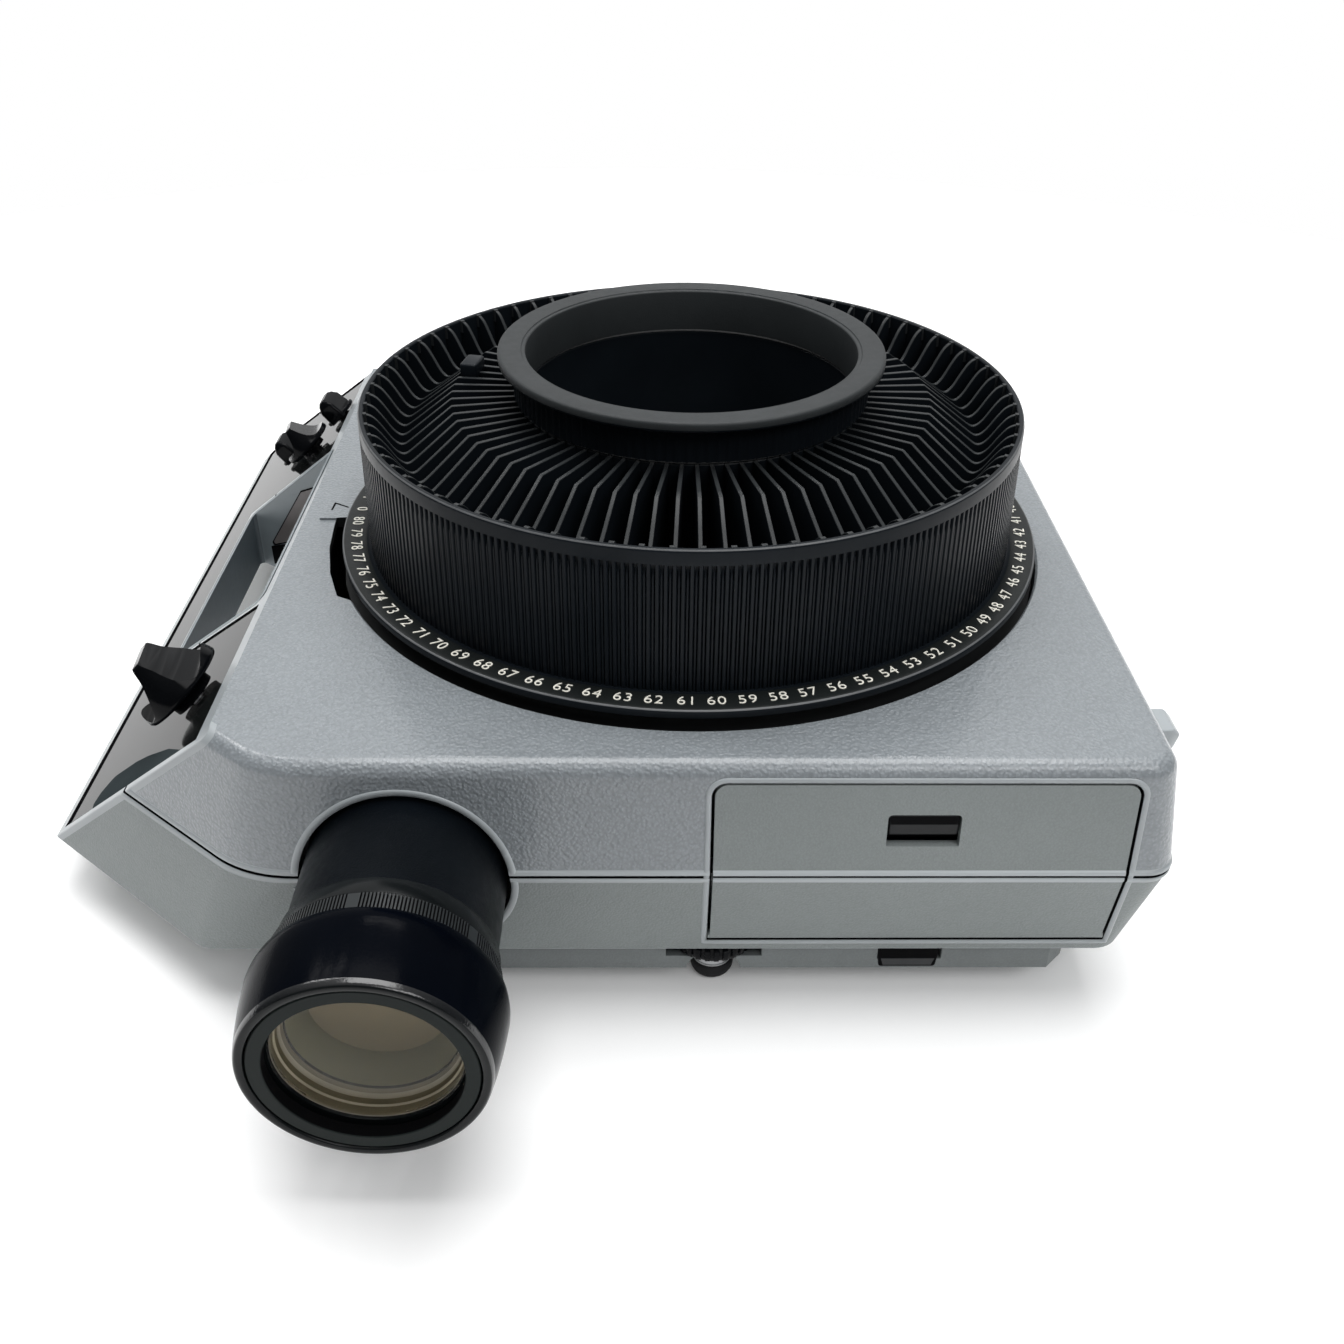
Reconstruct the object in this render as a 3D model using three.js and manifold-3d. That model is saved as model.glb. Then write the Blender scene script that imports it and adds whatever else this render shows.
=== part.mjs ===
// Rotary-tray slide projector.
// Millimetres, +Z up. The tray's axis is vertical; the lens points along -Y.
// Every piece is modelled round the tray axis and the floor plane, then the
// whole assembly is shifted so that the origin is the centre of its footprint.
import * as THREE from 'three';
import { mergeVertices } from 'three/addons/utils/BufferGeometryUtils.js';
import { ConvexGeometry } from 'three/addons/geometries/ConvexGeometry.js';
import Module from 'manifold-3d';

const wasm = await Module();
wasm.setup();

// ---------------------------------------------------------------- dimensions
const SLOTS = 81;                 // positions 0 to 80 on the tray
const SLOT_PHASE = 179.42;        // angle of position 0, degrees
const TRAY_FLANGE_R = 122;        // numbered flange
const TRAY_DRUM_R0 = 112.2;       // ribbed drum at its foot
const TRAY_DRUM_R1 = 111.4;       // and at its rim
const TRAY_TOP_Z = 147.6;
const LOCK_TOP_Z = 164;
const LOCK_R = 64.55;
const LOCK_BORE_R = 55.24;
const RECESS_R = 123.1;           // opening in the case top
const CASE_TOP_Z = 95.5;
const SEAM_Z = 58;
const SEAM_GAP = 0.3;
const CASE_BOTTOM_Z = 21.5;
const WALL = 3;
const FLOOR = 2;
const TOP_EDGE_R = 8;
const PANEL_X = -139.6;           // inner edge of the sloped control side
const PANEL_Z = 94.5;
const PANEL_S = 104.95;           // slope length of the control side
const X_MIN = -215.0;             // overall extents, for the footprint centre
const X_MAX = 147.5;
const LENS_X = -84.4;
const LENS_Z = 55;
const LENS_FRONT_Y = -211.7;
const REAR_Y = 212.5;
const GATE_Y = 0.85;
const KNOB_S = 26;                // focus knob on the slope
const KNOB_Y = -80;
const FOOT_X = 6.5;               // front elevation foot
const FOOT_Y = -123.5;
const DOOR = { x0: 3.8, x1: 125.5, z0: 27, z1: 89.8 };

// ------------------------------------------------------------------- helpers
const rad = (d) => (d * Math.PI) / 180;

function toSolid(geo) {
  const g = geo.clone();
  for (const n of Object.keys(g.attributes)) if (n !== 'position') g.deleteAttribute(n);
  const m = mergeVertices(g, 1e-4);
  const pos = m.attributes.position;
  const idx = m.index.array;
  const tri = [];
  let vol = 0;
  const a = new THREE.Vector3(), b = new THREE.Vector3(), c = new THREE.Vector3();
  for (let i = 0; i < idx.length; i += 3) {
    const [p, q, r] = [idx[i], idx[i + 1], idx[i + 2]];
    if (p === q || q === r || p === r) continue;
    tri.push(p, q, r);
    a.fromBufferAttribute(pos, p); b.fromBufferAttribute(pos, q); c.fromBufferAttribute(pos, r);
    vol += a.dot(b.cross(c)) / 6;
  }
  if (vol < 0) for (let i = 0; i < tri.length; i += 3) [tri[i], tri[i + 1]] = [tri[i + 1], tri[i]];
  return new wasm.Manifold(new wasm.Mesh({
    numProp: 3,
    vertProperties: new Float32Array(pos.array),
    triVerts: new Uint32Array(tri),
  }));
}

function toGeometry(man) {
  const m = man.getMesh();
  const g = new THREE.BufferGeometry();
  const pos = new Float32Array(m.vertProperties.length / m.numProp * 3);
  for (let i = 0; i < pos.length / 3; i++) {
    pos[3 * i] = m.vertProperties[i * m.numProp];
    pos[3 * i + 1] = m.vertProperties[i * m.numProp + 1];
    pos[3 * i + 2] = m.vertProperties[i * m.numProp + 2];
  }
  g.setAttribute('position', new THREE.BufferAttribute(pos, 3));
  g.setIndex(new THREE.BufferAttribute(new Uint32Array(m.triVerts), 1));
  return g;
}

const join = (...s) => s.reduce((p, q) => p.add(q));
const cut = (s, ...tools) => tools.reduce((p, q) => p.subtract(q), s);
// The largest body of a solid, without the slivers that a cut can leave.
const largest = (s) => s.decompose().sort((p, q) => q.volume() - p.volume())[0];

function box(x0, y0, z0, x1, y1, z1, matrix) {
  const g = new THREE.BoxGeometry(x1 - x0, y1 - y0, z1 - z0);
  g.translate((x0 + x1) / 2, (y0 + y1) / 2, (z0 + z1) / 2);
  if (matrix) g.applyMatrix4(matrix);
  return toSolid(g);
}

// Prism of a polygon in the local XY plane, from local z0 to z1.
function prism(pts, z0, z1, matrix) {
  const shape = new THREE.Shape(pts.map(([x, y]) => new THREE.Vector2(x, y)));
  const g = new THREE.ExtrudeGeometry(shape, { depth: z1 - z0, bevelEnabled: false, steps: 1 });
  g.translate(0, 0, z0);
  if (matrix) g.applyMatrix4(matrix);
  return toSolid(g);
}

// Solid of revolution: profile of [radius, height] that closes on itself or
// starts and ends on the axis.
function lathe(profile, seg, axis = 'z', at = [0, 0, 0]) {
  const pts = profile.map(([r, h]) => new THREE.Vector2(r, h));
  if (profile[0][0] > 1e-9) pts.push(pts[0].clone());
  const g = new THREE.LatheGeometry(pts, seg);
  if (axis === 'z') g.rotateX(Math.PI / 2);
  if (axis === 'x') g.rotateZ(-Math.PI / 2);
  g.translate(...at);
  return toSolid(g);
}

// Round rod between two points.
function rod(p0, p1, r0, r1 = r0, seg = 24) {
  const a = new THREE.Vector3(...p0), b = new THREE.Vector3(...p1);
  const d = b.clone().sub(a);
  const g = new THREE.CylinderGeometry(r1, r0, d.length(), seg);
  g.translate(0, d.length() / 2, 0);
  g.applyQuaternion(new THREE.Quaternion().setFromUnitVectors(new THREE.Vector3(0, 1, 0), d.normalize()));
  g.translate(a.x, a.y, a.z);
  return toSolid(g);
}

const hull = (pts) => toSolid(new ConvexGeometry(pts.map((p) => new THREE.Vector3(...p))));

const root = new THREE.Group();
root.name = 'slide_projector';
root.position.set(-(X_MIN + X_MAX) / 2, -(LENS_FRONT_Y + REAR_Y) / 2, 0);

const FINISH = {
  case: { color: 0x8b8f94, roughness: 0.62, metalness: 0 },
  tray: { color: 0x17181a, roughness: 0.42, metalness: 0 },
  lens: { color: 0x121316, roughness: 0.45, metalness: 0.1 },
  knob: { color: 0x0c0d0e, roughness: 0.25, metalness: 0 },
  plate: { color: 0xb9b5ab, roughness: 0.12, metalness: 0.6 },
  liner: { color: 0x555b61, roughness: 0.6, metalness: 0 },
  glass: { color: 0xb9a98c, roughness: 0.02, metalness: 0, transparent: true, opacity: 0.35 },
  steel: { color: 0xb8babd, roughness: 0.35, metalness: 1 },
  aluminium: { color: 0xc4c6c8, roughness: 0.4, metalness: 1 },
  rubber: { color: 0x101010, roughness: 0.85, metalness: 0 },
  brass: { color: 0xb9974a, roughness: 0.35, metalness: 1 },
  copper: { color: 0xa65a2e, roughness: 0.45, metalness: 0.6 },
  board: { color: 0x1f5a34, roughness: 0.5, metalness: 0 },
  inner: { color: 0x2a2c2f, roughness: 0.6, metalness: 0 },
};

function part(name, solid, finish, group = root) {
  const mesh = new THREE.Mesh(toGeometry(solid), new THREE.MeshStandardMaterial(FINISH[finish]));
  mesh.name = name;
  group.add(mesh);
  return mesh;
}

// Local frame of the sloped control side: local x = world y, local y = slope
// distance s from the inner edge, local z = height h above the surface.
const SU = new THREE.Vector3(-0.7184, 0, -0.6956);
const SN = new THREE.Vector3(-0.6956, 0, 0.7184);
const SLOPE = new THREE.Matrix4().makeBasis(new THREE.Vector3(0, 1, 0), SU, SN)
  .setPosition(PANEL_X, 0, PANEL_Z);
const onSlope = (s, y, h) => [PANEL_X + SU.x * s + SN.x * h, y, PANEL_Z + SU.z * s + SN.z * h];

// Local frame of the rear slope: local y runs down the slope.
const REAR = new THREE.Matrix4().makeBasis(
  new THREE.Vector3(1, 0, 0), new THREE.Vector3(0, Math.SQRT1_2, -Math.SQRT1_2),
  new THREE.Vector3(0, Math.SQRT1_2, Math.SQRT1_2)).setPosition(0, 152, CASE_TOP_Z);

// --------------------------------------------------------------- case shape
// Wall positions at height z.
const frontY = (z) => (z >= SEAM_Z ? -144 + 0.12 * (z - SEAM_Z) : -144 + 0.178 * (SEAM_Z - z));
const rightX = (z) => (z >= SEAM_Z ? 140.5 - 0.1267 * (z - SEAM_Z) : 140.5 - 0.2055 * (SEAM_Z - z));
const rearY = (z) => Math.min(REAR_Y, 152 + (CASE_TOP_Z - z));
const leftX = (z) => PANEL_X - Math.max(0, PANEL_Z - z) * 1.03289;
const facetR = (z) => (z >= SEAM_Z ? 38 - (z - SEAM_Z) * 0.2 : 38 - (SEAM_Z - z) * 0.75);

// Outline of the case at height z, its walls moved inward by d (left wall by dl,
// sloping rear wall by dr). Corners are rounded.
function outline(z, d, dl, dr, n = 5) {
  const lines = [
    { n: [0, -1], c: -frontY(z) - d },
    { n: [1, 0], c: rightX(z) - d },
    { n: [0, 1], c: rearY(z) - dr },
    { n: [-1, 0], c: -leftX(z) - dl },
    { n: [-0.632, -0.775], c: 193.63 - 0.2276 * (z - SEAM_Z) - d },
  ];
  const radii = [9, 9, 4, 1.5, facetR(z)];
  const out = [];
  for (let i = 0; i < lines.length; i++) {
    const a = lines[i], b = lines[(i + 1) % lines.length];
    const det = a.n[0] * b.n[1] - a.n[1] * b.n[0];
    const x = (a.c * b.n[1] - a.n[1] * b.c) / det;
    const y = (a.n[0] * b.c - a.c * b.n[0]) / det;
    const r = Math.max(radii[i] - d, 0.4);
    const turn = Math.acos(a.n[0] * b.n[0] + a.n[1] * b.n[1]);
    const t = r / Math.cos(turn / 2);
    const mx = (a.n[0] + b.n[0]) / 2, my = (a.n[1] + b.n[1]) / 2;
    const ml = Math.hypot(mx, my);
    const cx = x - (mx / ml) * t, cy = y - (my / ml) * t;
    const a0 = Math.atan2(a.n[1], a.n[0]);
    for (let k = 0; k <= n; k++) {
      const g = a0 + (turn * k) / n;
      out.push([cx + r * Math.cos(g), cy + r * Math.sin(g), z]);
    }
  }
  return out;
}

const outer = [];
for (const z of [CASE_BOTTOM_Z, 35, SEAM_Z, CASE_TOP_Z - TOP_EDGE_R]) outer.push(...outline(z, 0, 0, 0));
for (const a of [30, 60, 90]) {
  const z = CASE_TOP_Z - TOP_EDGE_R * (1 - Math.sin(rad(a)));
  const d = TOP_EDGE_R * (1 - Math.cos(rad(a)));
  outer.push(...outline(z, d, 0, d * 0.5));
}
const caseOuter = hull(outer);
const inner = [];
for (const z of [CASE_BOTTOM_Z + FLOOR, 36, SEAM_Z, 84]) inner.push(...outline(z, WALL, 4.3, z < 35 ? 3.4 : 4.2, 3));
inner.push(...outline(CASE_TOP_Z - WALL, WALL + 5, 4.3, 7, 3));
const caseInner = hull(inner);

// Hand hole: a parallelogram that runs straight down through the case.
const HOLE = [[-146.4, -39], [-190.6, -8], [-190.6, 103.5], [-144.8, 72]];
function grow(poly, d) {
  const n = poly.length;
  const area = poly.reduce((s, p, i) => s + p[0] * poly[(i + 1) % n][1] - p[1] * poly[(i + 1) % n][0], 0);
  const sg = area > 0 ? 1 : -1;
  const lines = poly.map((p, i) => {
    const q = poly[(i + 1) % n];
    const l = Math.hypot(q[0] - p[0], q[1] - p[1]);
    const nx = (sg * (q[1] - p[1])) / l, ny = (-sg * (q[0] - p[0])) / l;
    return [nx, ny, nx * p[0] + ny * p[1] + d];
  });
  return poly.map((_, i) => {
    const a = lines[(i + n - 1) % n], b = lines[i];
    const det = a[0] * b[1] - a[1] * b[0];
    return [(a[2] * b[1] - a[1] * b[2]) / det, (a[0] * b[2] - a[2] * b[0]) / det];
  });
}
const holeCut = prism(grow(HOLE, 2.3), 0, 110);
const lensCut = rod([LENS_X, -160, LENS_Z], [LENS_X, -130, LENS_Z], 30.6, 30.6, 40);

// Door opening, with rounded top corners.
function doorOutline(x0, x1, z0, z1, r = 4.5) {
  const p = [[x0, z0], [x1, z0]];
  for (let k = 0; k <= 4; k++) p.push([x1 - r + r * Math.cos(rad(22.5 * k)), z1 - r + r * Math.sin(rad(22.5 * k))]);
  for (let k = 0; k <= 4; k++) p.push([x0 + r - r * Math.sin(rad(22.5 * k)), z1 - r + r * Math.cos(rad(22.5 * k))]);
  return p;
}
// Extrusion along Y: local x = world x, local y = world z, local z = world -y.
const ALONG_Y = new THREE.Matrix4().makeBasis(new THREE.Vector3(1, 0, 0), new THREE.Vector3(0, 0, 1), new THREE.Vector3(0, -1, 0));
const doorCut = prism(doorOutline(DOOR.x0, DOOR.x1, DOOR.z0, DOOR.z1), 120, 160, ALONG_Y);

// Control plate outline in [y, s], open on its inner side at the hand hole.
const PLATE = [
  [-118.9, 8], [-84.4, 98.5], [208.2, 98.5], [208.2, 85], [154.6, 8], [76.6, 8], [111.2, 75.6], [-10.2, 75.6], [-44.8, 8],
];
const pocket = prism(grow(PLATE, 0.35), -1.5, 4, SLOPE);
const knobHole = (s, y, r) => rod(onSlope(s, y, -12), onSlope(s, y, 6), r, r, 20);

const KNOBS = {
  power: { s: 50, y: 135 },
  mode: { s: 27, y: 106 },
  timer: { s: 13, y: 121 },
};
const knobHoles = [knobHole(KNOB_S, KNOB_Y, 3.4), ...Object.values(KNOBS).map((k) => knobHole(k.s, k.y, 3.4))];

const full = cut(caseOuter, caseInner);

// Side wall openings for the mains inlet and the remote socket.
const inletCut = box(125, 149.7, 27.7, 150, 178.3, 50.3);
const socketCut = rod([125, 125, 41], [150, 125, 41], 8.6, 8.6, 24);

// ------------------------------------------------------------------- shells
{
  const upperHalf = box(-300, -300, SEAM_Z + SEAM_GAP / 2, 300, 300, 200);
  const skirt = lathe([[RECESS_R, 86.2], [125.4, 86.2], [125.4, 94], [RECESS_R, 94]], 64);
  const indexTab = prism([[-133.8, 2], [-120, 2], [-120, 19], [-133.2, 19]], 94, 96.7);
  const notch = prism([[-118, 10], [-127.2, 4], [-127, -8], [-124.2, -34], [-118, -50]], 84, 100);
  let s = full.intersect(upperHalf);
  s = join(s, indexTab, skirt);
  s = cut(s, rod([0, 0, 80], [0, 0, 99], RECESS_R, RECESS_R, 64), notch, lensCut, doorCut, holeCut, pocket, ...knobHoles,
    box(-50, 12, -6, 80, 42, 4, REAR));
  part('upper_shell', largest(s), 'case');

  const lowerHalf = box(-300, -300, 0, 300, 300, SEAM_Z - SEAM_GAP / 2);
  s = full.intersect(lowerHalf);
  s = cut(s, lensCut, doorCut, holeCut, pocket, ...knobHoles, inletCut, socketCut,
    rod([FOOT_X, FOOT_Y, 15], [FOOT_X, FOOT_Y, 30], 4.6, 4.6, 24));
  part('lower_shell', largest(s), 'case');
}

// Hand-hole liner, flush with the slope and with the case bottom.
part('handle_well', cut(prism(grow(HOLE, 2), 10, 110).intersect(caseOuter), prism(HOLE, 0, 120)), 'liner');

// Control plate inlaid in the slope.
part('control_plate', cut(prism(PLATE, -1.15, -0.1, SLOPE), ...knobHoles), 'plate');

// Floor pan under the case.
{
  let s = cut(
    prism([[-122, -134], [112, -134], [118, -128], [118, 197], [112, 203], [-122, 203], [-128, 197], [-128, -128]], 10, 21.2),
    prism([[-120.5, -131.5], [110.5, -131.5], [115.5, -126.5], [115.5, 195.5], [110.5, 200.5], [-120.5, 200.5], [-125.5, 195.5], [-125.5, -126.5]], 12.5, 30),
    box(FOOT_X - 15, -140, 15.4, FOOT_X + 15, -126, 30),
    rod([FOOT_X, -140, 9], [FOOT_X, -118, 9], 8.5, 8.5, 24),
    rod([FOOT_X, FOOT_Y, 5], [FOOT_X, FOOT_Y, 14], 8.5, 8.5, 24),
    box(58, -140, 14, 78, -130, 30),
  );
  for (let i = 0; i < 6; i++) s = cut(s, box(-15 + i * 9, 125, 5, -10 + i * 9, 172, 20));
  part('base_pan', s, 'case');
}

// Feet and case screws.
for (const [name, x, y] of [['rear_foot_left', -108, 186], ['rear_foot_right', 98, 186]]) {
  part(name, lathe([[0, 0], [8, 0], [9, 1.2], [9.5, 9.7], [0, 9.7]], 24, 'z', [x, y, 0]), 'rubber');
}
for (const [name, x, y] of [['case_screw_front_left', -112, -116], ['case_screw_front_right', 102, -116],
  ['case_screw_rear_left', -112, 160], ['case_screw_rear_right', 102, 160]]) {
  part(name, cut(lathe([[0, 7.6], [3, 7.6], [3.8, 8.6], [3.8, 9.75], [0, 9.75]], 16, 'z', [x, y, 0]),
    box(x - 3, y - 0.5, 7, x + 3, y + 0.5, 8.6)), 'steel');
}

// Lug on the right side.
part('side_lug', hull([[138.6, -108.5, 70], [138.6, -96.5, 70], [138, -108.5, 84.5], [138, -96.5, 84.5],
  [145, -108, 84.5], [145, -96.5, 84.5], [X_MAX, -107, 82], [X_MAX, -97.5, 82], [X_MAX, -105, 76], [X_MAX, -97.5, 76],
  [142, -108, 70], [142, -96.5, 70]].map(([x, y, z]) => [x + (x < 139 ? 1.1 : 0), y, z])), 'case');

// ------------------------------------------------------------- storage door
{
  const inset = 0.3;
  let s = full.intersect(prism(doorOutline(DOOR.x0 + inset, DOOR.x1 - inset, 28.8, DOOR.z1 - inset), 120, 160, ALONG_Y));
  s = join(s, rod([DOOR.x0 + inset, -137.3, 28.8], [DOOR.x1 - inset, -137.3, 28.8], 1.5, 1.5, 16));
  s = cut(s, rod([0, -137.3, 28.8], [130, -137.3, 28.8], 1.05, 1.05, 12), box(54, -150, 68.7, 75, -130, 79.3));
  part('access_door', s, 'case');
  part('door_hinge_pin', rod([DOOR.x0 + 0.3, -137.3, 28.8], [DOOR.x1 - 0.3, -137.3, 28.8], 0.75, 0.75, 12), 'steel');
  part('door_latch', join(box(54.6, -141.4, 71.9, 74.4, -138.2, 78.9), box(57, -138.2, 72.8, 72, -135.9, 78.3),
    box(51.5, -136, 66.3, 77.5, -133.8, 84.3)), 'knob');
  part('storage_bin', cut(box(15, -131.5, 30.5, 119, -78, 84.5), box(16.5, -140, 32, 117.5, -79.5, 83)), 'inner');
}

// --------------------------------------------------------------- deck and hub
part('tray_deck', cut(lathe([[0, 87.5], [122.4, 87.5], [122.4, 90], [0, 90]], 48),
  box(-111, GATE_Y - 3, 80, -57, GATE_Y + 3, 95),
  rod([95.26, 55, 80], [95.26, 55, 95], 3.2, 3.2, 16)), 'inner');
part('hub_post', cut(lathe([[0, 90.3], [50, 90.3], [50, 99], [46, 103], [0, 104]], 32),
  lathe([[0, 101], [7, 101], [7, 106], [0, 106]], 16)), 'tray');
part('hub_screw', cut(lathe([[0, 101.3], [5, 101.3], [5, 104.2], [4, 105], [0, 105]], 20), box(-4, -0.6, 104, 4, 0.6, 106)), 'steel');

// ----------------------------------------------------------------- slide tray
part('tray_drum', lathe([[109.9, 98.4], [TRAY_FLANGE_R, 98.4], [TRAY_FLANGE_R, 100.9], [121.4, 101.4],
  [TRAY_DRUM_R0, 101.4], [TRAY_DRUM_R1, TRAY_TOP_Z], [109.5, TRAY_TOP_Z]], 60), 'tray');
{
  // One comb-shaped ring: the hub wall with its dividers, cut down to the
  // curved top line that lets the fingers reach the slides.
  const pitch = 360 / SLOTS, half = 0.65;
  const rim = [], bore = [];
  for (let i = 0; i < SLOTS; i++) {
    const a = rad(SLOT_PHASE - (i + 0.5) * pitch);
    const u = [Math.cos(a), Math.sin(a)], v = [-Math.sin(a), Math.cos(a)];
    for (const [r, w] of [[58.5, half], [109.1, half], [109.1, -half], [58.5, -half]]) {
      rim.push([r * u[0] + w * v[0], r * u[1] + w * v[1]]);
    }
    if (i % 3 === 0) bore.push([55.9 * u[0], 55.9 * u[1]]);
  }
  let s = cut(prism(rim, 97, 148.2), prism(bore, 90, 160));
  const turn = new THREE.Matrix4().makeRotationZ(rad(SLOT_PHASE));
  const groove = lathe([[83, 149], [81, 147.8], [100.3, 134.2], [107, 146.4], [109.6, 147.4], [109.6, 149]], SLOTS).transform(turn.toArray());
  s = cut(s, groove);
  const a = rad(168);
  const block = box(-3, -5, 147, 3, 5, 152, new THREE.Matrix4().makeRotationZ(a).setPosition(77.5 * Math.cos(a), 77.5 * Math.sin(a), 0));
  part('tray_dividers', join(s, block), 'tray');
}
part('tray_base_plate', cut(lathe([[55.6, 95], [109.4, 95], [109.4, 96.4], [55.6, 96.4]], 48),
  box(-108.6, GATE_Y - 2, 90, -59.4, GATE_Y + 2, 99)), 'aluminium');
part('tray_lock_ring', lathe([[LOCK_BORE_R, 149.1], [59.5, 149.1], [59.5, 160], [LOCK_R, 160.6], [LOCK_R, 163.3], [63.9, LOCK_TOP_Z],
  [LOCK_BORE_R, LOCK_TOP_Z]], 48), 'tray');

// --------------------------------------------------------- tray drive on deck
{
  const teeth = [];
  for (let i = 0; i < 18; i++) {
    for (const [f, r] of [[-0.28, 10.4], [-0.16, 12], [0.16, 12], [0.28, 10.4]]) {
      const g = ((i + f) / 18) * 2 * Math.PI;
      teeth.push([95.26 + r * Math.cos(g), 55 + r * Math.sin(g)]);
    }
  }
  part('drive_gear', join(prism(teeth, 90.8, 94.3), rod([95.26, 55, 87.5], [95.26, 55, 91], 2.5, 2.5, 16)), 'brass');
  part('drive_motor', join(rod([95.26, 55, 50], [95.26, 55, 85.6], 17, 17, 28), rod([95.26, 55, 85.5], [95.26, 55, 87.2], 6, 6, 20)), 'steel');
}

// ----------------------------------------------------------------- slide gate
part('gate_front_plate', cut(box(-114, GATE_Y - 4.2, 24, -55, GATE_Y - 2.4, 86.8), box(LENS_X - 19, -20, LENS_Z - 19, LENS_X + 19, 20, LENS_Z + 19)), 'aluminium');
part('gate_rear_plate', cut(box(-114, GATE_Y + 2.4, 24, -55, GATE_Y + 4.2, 86.8), box(LENS_X - 19, -20, LENS_Z - 19, LENS_X + 19, 20, LENS_Z + 19)), 'aluminium');
part('lift_lever', join(box(LENS_X - 7, GATE_Y - 1.1, 24.2, LENS_X + 7, GATE_Y + 1.1, 29.2)), 'steel');

// --------------------------------------------------- lamp house and condenser
const bench = (y, r, seg = 32) => [LENS_X, y, LENS_Z];
part('lamp_house', cut(box(-116, 8, 24, -53, 122, 85.5), box(-114.4, 0, 25.6, -54.6, 130, 90)), 'aluminium');
part('condenser_front', lathe([[0, 11.5], [12, 12.3], [20, 14], [26, 17.2], [26, 20], [0, 20]], 24, 'y', [LENS_X, 0, LENS_Z]), 'glass');
part('heat_glass', box(LENS_X - 24, 27, LENS_Z - 24, LENS_X + 24, 30, LENS_Z + 24), 'glass');
part('condenser_rear', lathe([[0, 38], [27, 38], [27, 41], [20, 45], [12, 47.4], [0, 48.4]], 24, 'y', [LENS_X, 0, LENS_Z]), 'glass');
part('lamp', lathe([[0, 66], [3, 67], [5.5, 70], [6, 74], [6, 84], [4.5, 86], [4.5, 96], [0, 96]], 16, 'y', [LENS_X, 0, LENS_Z]), 'glass');
part('lamp_reflector', lathe([[27.2, 72], [24, 82], [14, 91], [5.2, 94], [5.2, 96], [15, 92.6], [25.4, 83], [28.4, 72]], 24, 'y', [LENS_X, 0, LENS_Z]), 'aluminium');
part('lamp_socket', join(box(LENS_X - 12, 98, LENS_Z - 8, LENS_X + 12, 114, LENS_Z + 8), rod([LENS_X, 96.4, LENS_Z], [LENS_X, 98.5, LENS_Z], 7, 7, 20)), 'inner');

// ------------------------------------------------------------------ fan, power
{
  const c = [10, 150];
  let s = join(rod([...c, 34], [...c, 36], 33, 33, 32), rod([...c, 34], [...c, 54], 9, 9, 20));
  for (let i = 0; i < 12; i++) {
    const m = new THREE.Matrix4().makeRotationZ(rad(i * 30)).setPosition(c[0], c[1], 0);
    s = join(s, box(8, -0.8, 35.5, 32.5, 0.8, 53, m));
  }
  part('fan_wheel', s, 'inner');
  part('fan_motor', rod([...c, 24], [...c, 33.2], 18, 18, 28), 'steel');
}
part('transformer_core', cut(box(70, 84, 24, 118, 108, 72), box(78, 80, 34, 88, 112, 62), box(100, 80, 34, 110, 112, 62)), 'steel');
part('transformer_coil', cut(box(78.4, 74, 34.4, 109.6, 118, 61.6), box(87.6, 83.6, 30, 100.4, 108.4, 66)), 'copper');
part('circuit_board', join(box(20, -62, 27, 118, 34, 28.6), box(34, -46, 28.5, 54, -36, 32), box(70, -52, 28.5, 98, -38, 32.5),
  rod([40, 0, 28], [40, 0, 48], 8, 8, 20), rod([62, 0, 28], [62, 0, 42], 6, 6, 20), box(86, -10, 28.5, 106, 18, 40)), 'board');
part('power_inlet', cut(box(120, 150, 28, 136.3, 178, 50), box(124, 153, 31, 140, 175, 47)), 'knob');
part('remote_socket', cut(rod([120, 125, 41], [137, 125, 41], 8.3, 8.3, 24), rod([127, 125, 41], [140, 125, 41], 6.2, 6.2, 20)), 'knob');
{
  let s = box(-49.7, 12.3, -2.8, 79.7, 41.7, 0, REAR);
  for (let i = 0; i < 12; i++) s = cut(s, box(-45 + i * 10.2, 16, -5, -38.5 + i * 10.2, 38, 3, REAR));
  part('exhaust_grille', s, 'case');
}

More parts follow.
